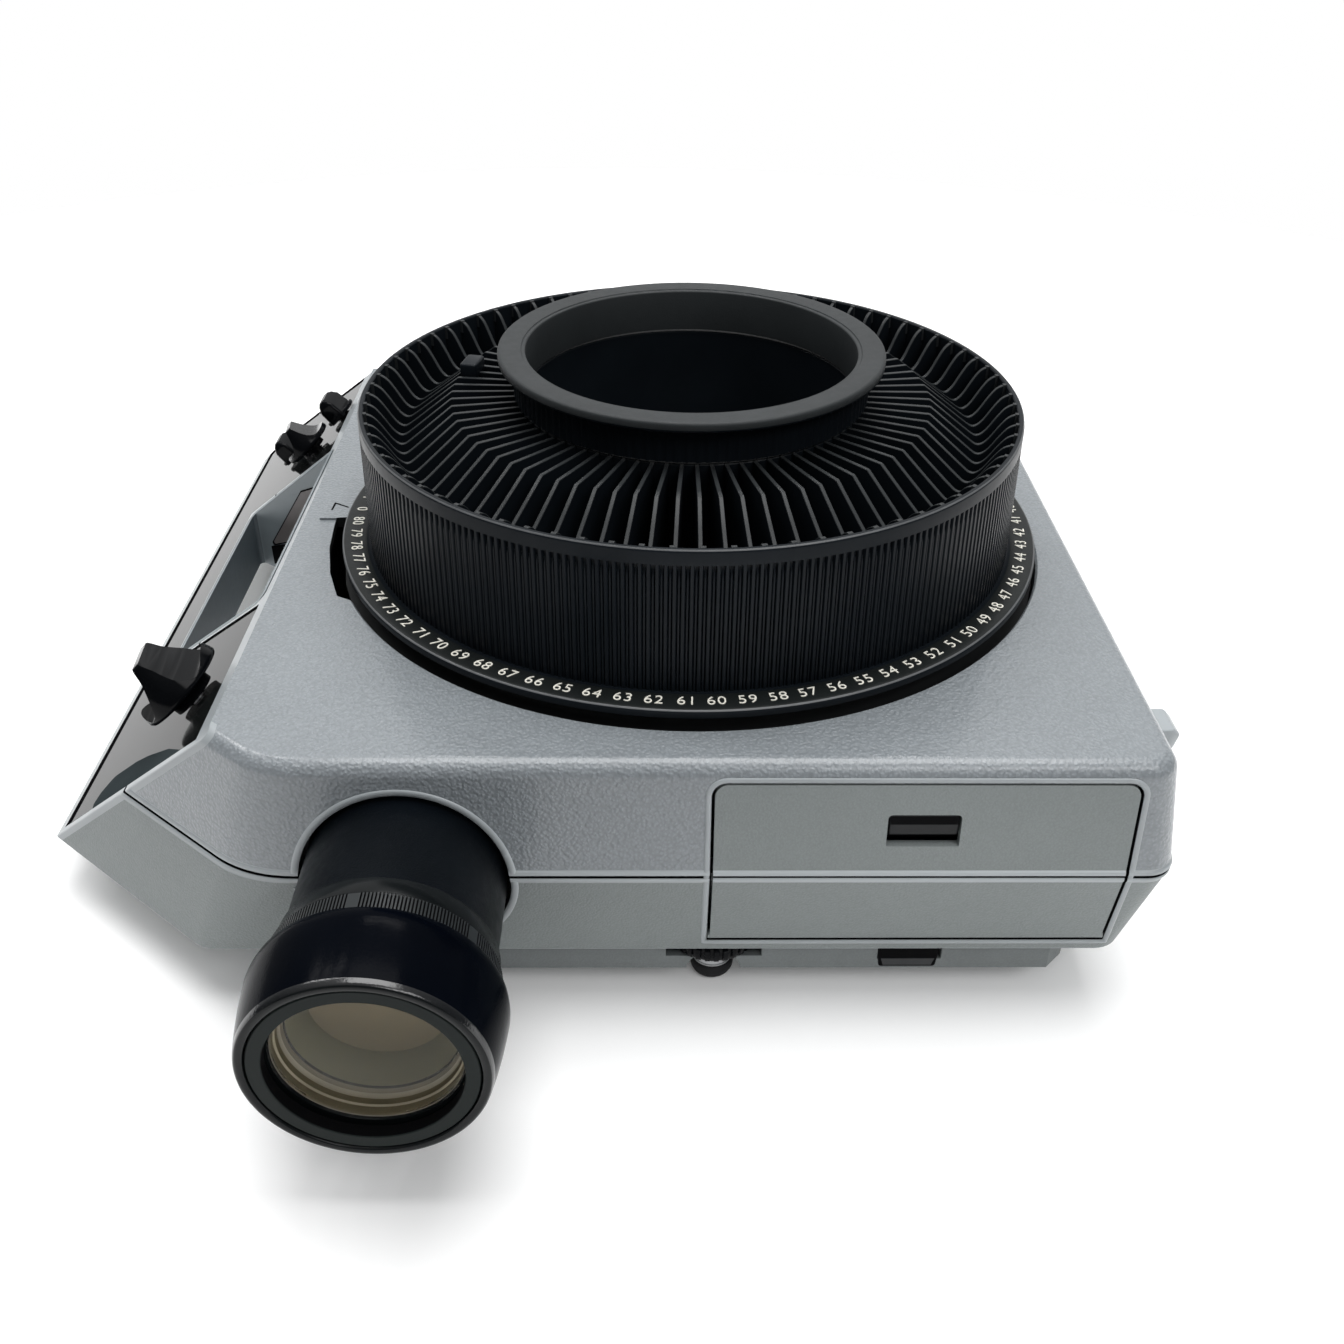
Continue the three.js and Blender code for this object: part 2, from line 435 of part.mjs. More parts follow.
// ----------------------------------------------------------------------- lens
{
  const at = [LENS_X, 0, LENS_Z];
  const slotDir = [-0.7184, -0.6956];   // towards the focus pinion, in XZ
  const along = new THREE.Matrix4().makeBasis(new THREE.Vector3(slotDir[0], 0, slotDir[1]), new THREE.Vector3(0, 1, 0),
    new THREE.Vector3(-slotDir[1], 0, slotDir[0])).setPosition(LENS_X, 0, LENS_Z);
  part('lens_carrier', cut(lathe([[29.75, -134.4], [31.1, -134.4], [31.1, -50], [29.75, -50]], 32, 'y', at),
    box(20, -128, -4.2, 40, -40, 4.2, along)), 'inner');
  part('lens_rear_barrel', join(lathe([[27, -179], [30.5, -179], [30.5, -173], [29.3, -172.6], [29.3, -62], [27, -62]], 36, 'y', at),
    box(28, -108, -3, 33.3, -54, 3, along)), 'lens');
  part('rear_lens_element', lathe([[0, -70], [12, -69.4], [26.6, -66.4], [26.6, -63.5], [12, -60.6], [0, -60]], 24, 'y', at), 'glass');
  part('zoom_ring', lathe([[27.4, -187], [31.7, -187], [31.7, -179.4], [27.4, -179.4]], 36, 'y', at), 'lens');
  part('lens_front_barrel', lathe([[29.5, LENS_FRONT_Y], [32.2, LENS_FRONT_Y], [33.9, -200], [34.6, -190.5], [33.8, -187.3],
    [27.4, -187.3], [27.4, -206.4], [29.5, -206.4]], 36, 'y', at), 'lens');
  part('lens_retaining_ring', lathe([[25.2, -211.2], [29.2, -211.2], [29.2, -206.8], [25.2, -206.8]], 32, 'y', at), 'lens');
  part('lens_cell', lathe([[24.7, -206], [27.1, -206], [27.1, -189], [24.7, -189]], 32, 'y', at), 'lens');
  part('front_lens_element', lathe([[0, -205.6], [10, -205.2], [18, -203.9], [24.3, -202], [24.3, -198.5], [0, -196]], 28, 'y', at), 'glass');
}

// Round knob with a finger scoop on each side of a ridge. The ridge runs nearly
// along Y; r is the rim radius, rt the ridge's half length, h the height and
// sh the height of the rim's underside.
function scoopKnob(s, y, r, rt, h, sh, ridge, seg) {
  const g = Math.atan2(0.27, 0.96);
  const dirOf = (ds, dy) => new THREE.Vector3(SU.x * ds, dy, SU.z * ds);
  const wing = dirOf(-Math.cos(g), Math.sin(g)), along = dirOf(-Math.sin(g), -Math.cos(g));
  const m = new THREE.Matrix4().makeBasis(wing, along, SN).setPosition(...onSlope(s, y, 0));
  const body = lathe([[0, 0.7], [r * 0.5, 0.7], [r * 0.5, 2.6], [r * 0.9, sh], [r, sh + 1], [r * 0.99, sh + 2], [r * 0.93, h * 0.52],
    [rt + 1.1, h * 0.78], [rt, h - 0.6], [rt - 1, h], [0, h]], seg);
  const hs = sh + 2.3;
  const tools = [];
  for (const sg of [1, -1]) {
    const line = [];
    for (let k = 0; k <= 7; k++) {
      const a = ridge + ((r + 3 - ridge) * k) / 7;
      const q = (a - ridge) / (r - ridge);
      line.push([sg * a, hs + (h - hs) * Math.max(0, 1 - q / 0.8) ** 2.6 + 5.4 * Math.max(0, q - 0.72) ** 2]);
    }
    line.push([sg * (r + 3), h + 6], [sg * ridge, h + 6]);
    tools.push(prism(line, -r - 6, r + 6, new THREE.Matrix4().makeBasis(new THREE.Vector3(1, 0, 0), new THREE.Vector3(0, 0, 1), new THREE.Vector3(0, -1, 0))));
  }
  return cut(body, ...tools).transform(m.toArray());
}

// --------------------------------------------------------------- focus drive
{
  const T = 66.7;                       // shaft length from the slope to the pinion
  const p = (h) => onSlope(KNOB_S, KNOB_Y, h);
  part('focus_shaft', rod(p(0.4), p(-T - 1.5), 2.4, 2.4, 16), 'steel');
  // The pinion is a ring on the shaft.
  part('focus_pinion', cut(rod(p(-T + 2), p(-T - 1.2), 4.5, 4.5, 20), rod(p(-T + 6), p(-T - 6), 2.7, 2.7, 16)), 'brass');
  part('focus_knob', scoopKnob(KNOB_S, KNOB_Y, 15.4, 9.6, 21.6, 4.6, 1.3, 44), 'knob');
}

// -------------------------------------------------- rear knobs on the slope
for (const [name, k] of Object.entries(KNOBS)) {
  const p = (h) => onSlope(k.s, k.y, h);
  const stem = rod(p(-8), p(1), 2.8, 2.8, 16);
  if (name === 'mode') {
    part('mode_knob', join(scoopKnob(k.s, k.y, 11.2, 7.6, 15, 3.2, 1.2, 36), stem), 'knob');
    continue;
  }
  const w = 4, l = 7.5, h = 11;
  const q = (a, b, z) => onSlope(k.s + a, k.y + b, z);
  const grip = hull([q(-w, -l, 2), q(w, -l, 2), q(-w, l, 2), q(w, l, 2),
    q(-w + 0.4, -l + 0.3, h - 3.4), q(w - 0.4, -l + 0.3, h - 3.4), q(-w + 0.4, l - 0.3, h - 3.4), q(w - 0.4, l - 0.3, h - 3.4),
    q(-1.5, -l + 2.5, h), q(1.5, -l + 2.5, h), q(-1.5, l - 2.5, h), q(1.5, l - 2.5, h)]);
  part(`${name}_knob`, join(rod(p(0.7), p(2.5), 7.5, 7.5, 24), grip, stem), 'knob');
}

// ------------------------------------------------------------ elevation foot
{
  const at = [FOOT_X, FOOT_Y, 0];
  const ribs = [];
  for (let i = 0; i < 30; i++) {
    for (const [f, r] of [[0, 13.4], [0.5, 14.1]]) {
      const g = ((i + f) / 30) * 2 * Math.PI;
      ribs.push([FOOT_X + r * Math.cos(g), FOOT_Y + r * Math.sin(g)]);
    }
  }
  part('elevation_wheel', cut(prism(ribs, 15.8, 20.8), rod([FOOT_X, FOOT_Y, 10], [FOOT_X, FOOT_Y, 30], 4.15, 4.15, 20)), 'knob');
  part('elevation_screw', join(lathe([[0, 6.3], [5.6, 6.3], [6.2, 7], [6.2, 8.4], [0, 8.4]], 24, 'z', at), rod([FOOT_X, FOOT_Y, 8], [FOOT_X, FOOT_Y, 44], 3.8, 3.8, 20)), 'steel');
  part('elevation_foot', lathe([[0, 0], [4.5, 0], [6.6, 1.6], [7, 3.5], [6.6, 6], [0, 6]], 24, 'z', at), 'rubber');
}

export default root;
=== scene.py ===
import math
import bpy
import bmesh
import numpy as np
from mathutils import Vector, Matrix


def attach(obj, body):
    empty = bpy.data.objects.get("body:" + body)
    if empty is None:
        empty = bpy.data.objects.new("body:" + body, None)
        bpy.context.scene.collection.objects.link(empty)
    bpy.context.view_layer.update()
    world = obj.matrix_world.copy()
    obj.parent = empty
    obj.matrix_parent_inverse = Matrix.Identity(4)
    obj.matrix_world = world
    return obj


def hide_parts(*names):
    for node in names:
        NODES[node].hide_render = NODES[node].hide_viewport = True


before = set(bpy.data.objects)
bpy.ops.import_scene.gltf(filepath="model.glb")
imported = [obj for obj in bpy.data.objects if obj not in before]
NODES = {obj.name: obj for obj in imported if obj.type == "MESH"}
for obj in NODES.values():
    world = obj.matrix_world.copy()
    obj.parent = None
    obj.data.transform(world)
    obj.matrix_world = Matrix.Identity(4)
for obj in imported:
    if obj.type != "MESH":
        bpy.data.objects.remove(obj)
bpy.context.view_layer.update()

SCENE = bpy.context.scene
COL = SCENE.collection
OX, OY = 33.75, -0.4            # from the tray-axis frame (mm) to the row frame
rad = math.radians


# ============================================================ mesh helpers
def new_obj(name, verts, faces, mats=(), fmat=None):
    me = bpy.data.meshes.new(name)
    v = (np.asarray(verts, float) + np.array([OX, OY, 0.0])) * 0.001
    me.from_pydata(v.tolist(), [], [tuple(int(i) for i in f) for f in faces])
    for m in mats:
        me.materials.append(m)
    if fmat is not None:
        me.polygons.foreach_set("material_index", np.asarray(fmat, np.int32))
    me.update()
    o = bpy.data.objects.new(name, me)
    COL.objects.link(o)
    return o


def outward(o):
    bm = bmesh.new()
    bm.from_mesh(o.data)
    bmesh.ops.recalc_face_normals(bm, faces=bm.faces)
    bm.to_mesh(o.data)
    bm.free()
    return o


def applied(o):
    dg = bpy.context.evaluated_depsgraph_get()
    dg.update()
    me = bpy.data.meshes.new_from_object(o.evaluated_get(dg))
    old = o.data
    o.modifiers.clear()
    o.data = me
    me.name = o.name
    bpy.data.meshes.remove(old)
    return o


def boolean(o, cutters, op="DIFFERENCE"):
    for c in cutters:
        m = o.modifiers.new("b", "BOOLEAN")
        m.operation = op
        m.object = c
        m.solver = "EXACT"
        if len(c.data.materials):
            m.material_mode = "TRANSFER"
        applied(o)
        old = c.data
        bpy.data.objects.remove(c)
        bpy.data.meshes.remove(old)
    return o


def shade(o, angle=32, weighted=True):
    me = o.data
    me.polygons.foreach_set("use_smooth", [True] * len(me.polygons))
    me.set_sharp_from_angle(angle=rad(angle))
    if weighted:
        m = o.modifiers.new("wn", "WEIGHTED_NORMAL")
        m.keep_sharp = True
        m.weight = 80
        applied(o)
    return o


def bevel(o, width_mm, segments=2, angle=30, dissolve=True):
    if dissolve:
        bm = bmesh.new()
        bm.from_mesh(o.data)
        bmesh.ops.remove_doubles(bm, verts=bm.verts, dist=2e-6)
        bmesh.ops.dissolve_limit(bm, angle_limit=rad(1.0), verts=bm.verts, edges=bm.edges, delimit={"MATERIAL"})
        bm.to_mesh(o.data)
        bm.free()
    m = o.modifiers.new("bev", "BEVEL")
    m.width = width_mm * 0.001
    m.segments = segments
    m.limit_method = "ANGLE"
    m.angle_limit = rad(angle)
    m.use_clamp_overlap = True
    m.harden_normals = False
    return applied(o)


def ident(origin=(0, 0, 0), x=(1, 0, 0), y=(0, 1, 0), z=(0, 0, 1)):
    return np.array(origin, float), np.array(x, float), np.array(y, float), np.array(z, float)


def place(frm, pts):
    o, x, y, z = frm
    p = np.atleast_2d(np.asarray(pts, float))
    return o + p[:, :1] * x + p[:, 1:2] * y + p[:, 2:3] * z


WORLD = ident()
ALONG_Y = ident((0, 0, 0), (1, 0, 0), (0, 0, 1), (0, -1, 0))      # (x, z, -y)
SU = np.array([-0.7184, 0, -0.6956])
SN = np.array([-0.6956, 0, 0.7184])
SLOPE = ident((-139.6, 0, 94.5), (0, 1, 0), SU, SN)               # (y, s, h)
R2 = math.sqrt(0.5)
REAR = ident((0, 152, 95.5), (1, 0, 0), (0, R2, -R2), (0, R2, R2))  # (x, v, h)


def on_slope(s, y, h):
    return place(SLOPE, [(y, s, h)])[0]


def prism(name, poly, h0, h1, frm=WORLD, mats=()):
    n = len(poly)
    v = [(p[0], p[1], h0) for p in poly] + [(p[0], p[1], h1) for p in poly]
    f = [list(range(n))[::-1], list(range(n, 2 * n))]
    f += [[i, (i + 1) % n, n + (i + 1) % n, n + i] for i in range(n)]
    return outward(new_obj(name, place(frm, v), f, mats))


def box(name, x0, y0, z0, x1, y1, z1, frm=WORLD, mats=()):
    return prism(name, [(x0, y0), (x1, y0), (x1, y1), (x0, y1)], z0, z1, frm, mats)


def revolve(name, profile, seg, frm=WORLD, mats=(), rows_mat=None, dr=None, closed=None, phase=0.0):
    """profile of (r, h); closes on itself unless it starts and ends on the axis. dr(theta, row) adds to r."""
    th = phase + np.arange(seg) * 2 * math.pi / seg
    if closed is None:
        closed = profile[0][0] > 1e-6
    verts, rows = [], []
    for k, (r, h) in enumerate(profile):
        if r < 1e-6:
            rows.append([len(verts)] * seg)
            verts.append((0, 0, h))
        else:
            rr = r + (dr(th, k) if dr is not None else 0)
            rr = np.broadcast_to(rr, th.shape)
            rows.append(list(range(len(verts), len(verts) + seg)))
            verts += [(rr[i] * math.cos(t), rr[i] * math.sin(t), h) for i, t in enumerate(th)]
    faces, fm = [], []
    pairs = [(k, k + 1) for k in range(len(profile) - 1)] + ([(len(profile) - 1, 0)] if closed else [])
    for a, b in pairs:
        for i in range(seg):
            j = (i + 1) % seg
            q = [rows[a][i], rows[a][j], rows[b][j], rows[b][i]]
            u = []
            for x in q:
                if x not in u:
                    u.append(x)
            if len(u) >= 3:
                faces.append(u)
                fm.append(rows_mat[a] if rows_mat else 0)
    return outward(new_obj(name, place(frm, verts), faces, mats, fm))


def axis_y(x, z):
    """h runs along +Y; theta 0 points to +X, 90 degrees to +Z."""
    return ident((x, 0, z), (1, 0, 0), (0, 0, 1), (0, 1, 0))


def rod(name, p0, p1, r, seg=32, mats=()):
    p0, p1 = np.array(p0, float), np.array(p1, float)
    z = (p1 - p0) / np.linalg.norm(p1 - p0)
    a = np.array([1, 0, 0]) if abs(z[0]) < 0.9 else np.array([0, 1, 0])
    x = np.cross(a, z); x /= np.linalg.norm(x)
    y = np.cross(z, x)
    L = np.linalg.norm(p1 - p0)
    return revolve(name, [(0, 0), (r, 0), (r, L), (0, L)], seg, (p0, x, y, z), mats)


def tube(name, path, r, seg=8, closed=True, mats=(), squash=1.0, up=None):
    path = np.asarray(path, float)
    n = len(path)
    verts, faces = [], []
    for i in range(n):
        a = path[(i - 1) % n] if closed or i > 0 else path[i]
        b = path[(i + 1) % n] if closed or i < n - 1 else path[i]
        t = (b - a) / np.linalg.norm(b - a)
        u = np.array(up if up is not None else (0, 0, 1), float)
        s = np.cross(t, u); s /= np.linalg.norm(s)
        w = np.cross(s, t)
        for k in range(seg):
            g = 2 * math.pi * k / seg
            verts.append(path[i] + r * math.cos(g) * s + r * squash * math.sin(g) * w)
    m = n if closed else n - 1
    for i in range(m):
        j = (i + 1) % n
        for k in range(seg):
            l = (k + 1) % seg
            faces.append([i * seg + k, i * seg + l, j * seg + l, j * seg + k])
    if not closed:
        faces.append(list(range(seg)))
        faces.append([(n - 1) * seg + k for k in range(seg)][::-1])
    return outward(new_obj(name, verts, faces, mats))


def joined(name, objs):
    """Joins meshes into the first, keeping each one's materials."""
    base = objs[0]
    for o in objs[1:]:
        off = len(base.data.materials)
        idx = {}
        for i, m in enumerate(o.data.materials):
            k = base.data.materials.find(m.name) if m else -1
            if k < 0:
                base.data.materials.append(m)
                k = len(base.data.materials) - 1
            idx[i] = k
        bm = bmesh.new()
        bm.from_mesh(base.data)
        nf = len(bm.faces)
        tmp = o.data.copy()
        bm.from_mesh(tmp)
        bm.faces.ensure_lookup_table()
        for f in bm.faces[nf:]:
            f.material_index = idx.get(f.material_index, 0)
        bm.to_mesh(base.data)
        bm.free()
        bpy.data.meshes.remove(tmp)
        old = o.data
        bpy.data.objects.remove(o)
        bpy.data.meshes.remove(old)
    base.name = name
    base.data.name = name
    return base


def grow(poly, d):
    n = len(poly)
    area = sum(p[0] * poly[(i + 1) % n][1] - p[1] * poly[(i + 1) % n][0] for i, p in enumerate(poly))
    sg = 1 if area > 0 else -1
    L = []
    for i, p in enumerate(poly):
        q = poly[(i + 1) % n]
        l = math.hypot(q[0] - p[0], q[1] - p[1])
        nx, ny = sg * (q[1] - p[1]) / l, -sg * (q[0] - p[0]) / l
        L.append((nx, ny, nx * p[0] + ny * p[1] + d))
    out = []
    for i in range(n):
        a, b = L[(i - 1) % n], L[i]
        det = a[0] * b[1] - a[1] * b[0]
        out.append(((a[2] * b[1] - a[1] * b[2]) / det, (a[0] * b[2] - a[2] * b[0]) / det))
    return out


def rounded(poly, r, n=5):
    """Rounds a polygon's corners: r is a radius or one for each corner."""
    out = []
    m = len(poly)
    rr = [r] * m if not isinstance(r, (list, tuple)) else r
    for i in range(m):
        p = np.array(poly[i], float)
        a = np.array(poly[(i - 1) % m], float) - p
        b = np.array(poly[(i + 1) % m], float) - p
        la, lb = np.linalg.norm(a), np.linalg.norm(b)
        a, b = a / la, b / lb
        ang = math.acos(max(-1, min(1, float(a @ b))))
        if rr[i] <= 0:
            out.append(tuple(p)); continue
        t = min(rr[i] / math.tan(ang / 2), la * 0.49, lb * 0.49)
        p0, p1 = p + a * t, p + b * t
        rad_ = t * math.tan(ang / 2)
        c = p + (a + b) / np.linalg.norm(a + b) * math.hypot(t, rad_)
        v0, v1 = p0 - c, p1 - c
        w = math.acos(max(-1, min(1, float(v0 @ v1) / (rad_ * rad_))))
        for k in range(n + 1):
            s = k / n
            q = (math.sin((1 - s) * w) * v0 + math.sin(s * w) * v1) / math.sin(w)
            out.append(tuple(c + q))
    return out


def copy_cad(node, name=None):
    src = NODES[node]
    me = src.data.copy()
    me.materials.clear()
    o = bpy.data.objects.new(name or node + "_fine", me)
    COL.objects.link(o)
    bm = bmesh.new()
    bm.from_mesh(me)
    bmesh.ops.remove_doubles(bm, verts=bm.verts, dist=2e-6)
    bm.to_mesh(me)
    bm.free()
    me.update()
    return o


def done(o, body, slot, *nodes):
    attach(o, body)
    if nodes:
        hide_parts(*nodes)
    return o


# ============================================================ materials
def srgb(r, g, b):
    f = lambda c: (c / 255 / 12.92) if c <= 10 else ((c / 255 + 0.055) / 1.055) ** 2.4
    return (f(r), f(g), f(b), 1.0)


def make_mat(name, base, rough=0.5, metal=0.0, spec=0.5, coat=0.0, coat_rough=0.1,
             layers=(), tint=0.08, tint_scale=40.0, rough_var=0.05, rough_scale=300.0,
             transmission=0.0, ior=1.5, edge=None, speck=None, groove_shade=0.0):
    """A Principled material whose colour, roughness and relief all come from procedural textures in object space.
    layers: (kind, scale, strength, distance_mm) reliefs, added up. edge: (colour, amount) painted highlight on convex
    corners."""
    m = bpy.data.materials.new(name)
    m.use_nodes = True
    nt = m.node_tree
    nt.nodes.clear()
    N = nt.nodes.new
    L = nt.links.new
    out = N("ShaderNodeOutputMaterial")
    bsdf = N("ShaderNodeBsdfPrincipled")
    L(bsdf.outputs[0], out.inputs[0])
    tc = N("ShaderNodeTexCoord")
    co = tc.outputs["Object"]
    bsdf.inputs["Metallic"].default_value = metal
    bsdf.inputs["Specular IOR Level"].default_value = spec
    bsdf.inputs["Coat Weight"].default_value = coat
    bsdf.inputs["Coat Roughness"].default_value = coat_rough
    bsdf.inputs["IOR"].default_value = ior
    bsdf.inputs["Transmission Weight"].default_value = transmission

    def noise(scale, detail=2.0, rough_=0.5, dist=0.0, vec=co):
        n = N("ShaderNodeTexNoise")
        n.inputs["Scale"].default_value = scale
        n.inputs["Detail"].default_value = detail
        n.inputs["Roughness"].default_value = rough_
        n.inputs["Distortion"].default_value = dist
        L(vec, n.inputs["Vector"])
        return n.outputs["Fac"]

    # colour: slow drift plus fine mottling
    lo = tuple(c * (1 - tint) for c in base[:3]) + (1,)
    hi = tuple(min(1, c * (1 + tint)) for c in base[:3]) + (1,)
    ramp = N("ShaderNodeValToRGB")
    ramp.color_ramp.elements[0].position = 0.3
    ramp.color_ramp.elements[0].color = lo
    ramp.color_ramp.elements[1].position = 0.7
    ramp.color_ramp.elements[1].color = hi
    L(noise(tint_scale, 4.0, 0.55), ramp.inputs["Fac"])
    colour = ramp.outputs["Color"]
    if speck:
        sc, amount, s_col = speck
        mix = N("ShaderNodeMix"); mix.data_type = "RGBA"
        r2 = N("ShaderNodeValToRGB")
        r2.color_ramp.elements[0].position = 0.42
        r2.color_ramp.elements[0].color = (0, 0, 0, 1)
        r2.color_ramp.elements[1].position = 0.62
        r2.color_ramp.elements[1].color = (amount,) * 3 + (1,)
        L(noise(sc, 2.0, 0.5), r2.inputs["Fac"])
        L(r2.outputs["Color"], mix.inputs["Factor"])
        L(colour, mix.inputs["A"])
        mix.inputs["B"].default_value = s_col
        colour = mix.outputs["Result"]
    # painted highlight: convex corners, found by pointiness, are lightened towards the edge colour
    if edge:
        highlight_col, amount = edge
        geo = N("ShaderNodeNewGeometry")
        r3 = N("ShaderNodeValToRGB")
        r3.color_ramp.elements[0].position = 0.52
        r3.color_ramp.elements[0].color = (0, 0, 0, 1)
        r3.color_ramp.elements[1].position = 0.60
        r3.color_ramp.elements[1].color = (amount,) * 3 + (1,)
        L(geo.outputs["Pointiness"], r3.inputs["Fac"])
        mix = N("ShaderNodeMix"); mix.data_type = "RGBA"
        L(r3.outputs["Color"], mix.inputs["Factor"])
        L(colour, mix.inputs["A"])
        mix.inputs["B"].default_value = highlight_col
        colour = mix.outputs["Result"]
    L(colour, bsdf.inputs["Base Color"])
    # roughness
    mr = N("ShaderNodeMapRange")
    mr.inputs["To Min"].default_value = max(0.0, rough - rough_var)
    mr.inputs["To Max"].default_value = min(1.0, rough + rough_var)
    L(noise(rough_scale, 3.0), mr.inputs["Value"])
    L(mr.outputs["Result"], bsdf.inputs["Roughness"])
    # relief
    prev = None
    for kind, scale, strength, dist in layers:
        if kind == "noise":
            h = noise(scale, 1.5, 0.5, 0.4)
        elif kind == "fine":
            h = noise(scale, 3.0, 0.6)
        elif kind == "pebble":
            v = N("ShaderNodeTexVoronoi")
            v.feature = "SMOOTH_F1"
            v.inputs["Scale"].default_value = scale
            v.inputs["Smoothness"].default_value = 0.7
            wob = N("ShaderNodeTexNoise")
            wob.inputs["Scale"].default_value = scale * 0.8
            L(co, wob.inputs["Vector"])
            addv = N("ShaderNodeVectorMath"); addv.operation = "MULTIPLY_ADD"
            L(wob.outputs["Color"], addv.inputs[0])
            addv.inputs[1].default_value = (0.9 / scale,) * 3
            L(co, addv.inputs[2])
            L(addv.outputs[0], v.inputs["Vector"])
            inv = N("ShaderNodeMath"); inv.operation = "SUBTRACT"
            inv.inputs[0].default_value = 1.0
            L(v.outputs["Distance"], inv.inputs[1])
            h = inv.outputs[0]
            if groove_shade:          # painted shade: the grooves of the grain are darker than its tops
                cr = N("ShaderNodeMapRange")
                cr.inputs["From Min"].default_value = 0.35
                cr.inputs["From Max"].default_value = 0.95
                cr.inputs["To Min"].default_value = 1.0 - groove_shade
                cr.inputs["To Max"].default_value = 1.0 + 0.55 * groove_shade
                L(h, cr.inputs["Value"])
                mul = N("ShaderNodeVectorMath"); mul.operation = "MULTIPLY"
                L(colour, mul.inputs[0])
                L(cr.outputs["Result"], mul.inputs[1])
                L(mul.outputs[0], bsdf.inputs["Base Color"])
                groove_shade = 0.0
        elif kind == "wrinkle":
            h = noise(scale, 4.0, 0.6, 1.6)
        elif kind == "brush_y" or kind == "brush_x" or kind == "brush_z":
            mp = N("ShaderNodeMapping")
            k = {"x": (0.03, 1, 1), "y": (1, 0.03, 1), "z": (1, 1, 0.03)}[kind[-1]]
            mp.inputs["Scale"].default_value = k
            L(co, mp.inputs["Vector"])
            h = noise(scale, 2.0, 0.5, 0.0, mp.outputs[0])
        b = N("ShaderNodeBump")
        b.inputs["Strength"].default_value = strength
        b.inputs["Distance"].default_value = dist * 0.001
        L(h, b.inputs["Height"])
        if prev is not None:
            L(prev, b.inputs["Normal"])
        prev = b.outputs["Normal"]
    if prev is not None:
        L(prev, bsdf.inputs["Normal"])
    return m


M = {}
CASE = (0.205, 0.226, 0.241, 1)
M["case"] = make_mat("case_pebbled", CASE, 0.42, spec=0.5, coat=0.55, coat_rough=0.15, tint=0.04, tint_scale=30,
                     layers=(("pebble", 980, 1.0, 0.34), ("fine", 2600, 0.4, 0.05)),
                     speck=(1500, 0.12, srgb(112, 119, 126)), rough_var=0.08, groove_shade=0.14)
M["case_fine"] = make_mat("case_fine_grain", (0.190, 0.212, 0.210, 1), 0.47, tint=0.03, tint_scale=30,
                          layers=(("pebble", 1500, 0.9, 0.16), ("fine", 3800, 0.3, 0.04)),
                          speck=(2300, 0.08, srgb(106, 113, 115)), rough_var=0.06, groove_shade=0.07)
# the plain bands and beads get a painted highlight on their convex corners
M["case_smooth"] = make_mat("case_smooth", (0.285, 0.308, 0.320, 1), 0.34, tint=0.03, tint_scale=60,
                            layers=(("fine", 1500, 0.10, 0.03),), edge=(srgb(190, 196, 200), 0.35))
M["pan"] = make_mat("pan_grey", (0.150, 0.166, 0.167, 1), 0.55, tint=0.06,
                    layers=(("pebble", 1500, 0.6, 0.14), ("fine", 3800, 0.2, 0.04)), groove_shade=0.07)
M["gap"] = make_mat("shadow_gap", (0.0025, 0.0025, 0.003, 1), 0.8, spec=0.05, layers=(("fine", 900, 0.1, 0.03),))
M["tray"] = make_mat("tray_black", (0.0064, 0.0086, 0.0112, 1), 0.34, spec=0.11, tint=0.15,
                     layers=(("fine", 1500, 0.22, 0.05),), rough_var=0.07)
M["flange"] = make_mat("tray_flange", (0.0095, 0.0115, 0.0115, 1), 0.42, spec=0.20, tint=0.12,
                        layers=(("noise", 2300, 0.5, 0.10),), rough_var=0.08)
# lighter copy of the tray black for the tops of the slot walls and the rim blocks: painted highlight
M["tray_fin"] = make_mat("tray_fin_top", (0.020, 0.0225, 0.024, 1), 0.4, spec=0.22, tint=0.15,
                       layers=(("fine", 1500, 0.22, 0.05),), rough_var=0.07)
M["tray_grain"] = make_mat("tray_black_grain", (0.020, 0.0230, 0.0245, 1), 0.50, spec=0.26, tint=0.12,
                           layers=(("noise", 2300, 0.55, 0.10),), rough_var=0.08)
# lighter copy of the tray black: painted highlight on the drum's rounded edges
M["tray_edge_painted_highlight"] = make_mat("tray_edge_painted_highlight", (0.085, 0.089, 0.093, 1), 0.42, spec=0.5, tint=0.15, tint_scale=200,
                          layers=(("noise", 2300, 0.4, 0.08),), rough_var=0.06)
M["digit"] = make_mat("tray_digits", (0.80, 0.78, 0.70, 1), 0.55, tint=0.05, layers=(("fine", 3000, 0.15, 0.03),))
M["lens"] = make_mat("lens_wrinkle", (0.0022, 0.0032, 0.0046, 1), 0.32, spec=0.08, tint=0.2,
                     layers=(("wrinkle", 900, 0.60, 0.16),), rough_var=0.08)
M["lens_front"] = make_mat("lens_front_black", (0.0010, 0.0016, 0.0032, 1), 0.17, spec=0.5, ior=1.08, tint=0.2,
                           layers=(("noise", 1500, 0.30, 0.08),), rough_var=0.06)
M["lens_smooth"] = make_mat("lens_smooth_black", (0.0040, 0.0050, 0.0055, 1), 0.22, spec=0.15, tint=0.15,
                            layers=(("fine", 1200, 0.12, 0.03),), rough_var=0.05)
# lighter copy of the lens black for the zoom ring's ribs: painted highlight
M["zoom_rib"] = make_mat("zoom_ring_rib_painted_highlight", (0.0185, 0.0215, 0.0230, 1), 0.35, spec=0.22, tint=0.1,
                       layers=(("fine", 1700, 0.12, 0.03),))
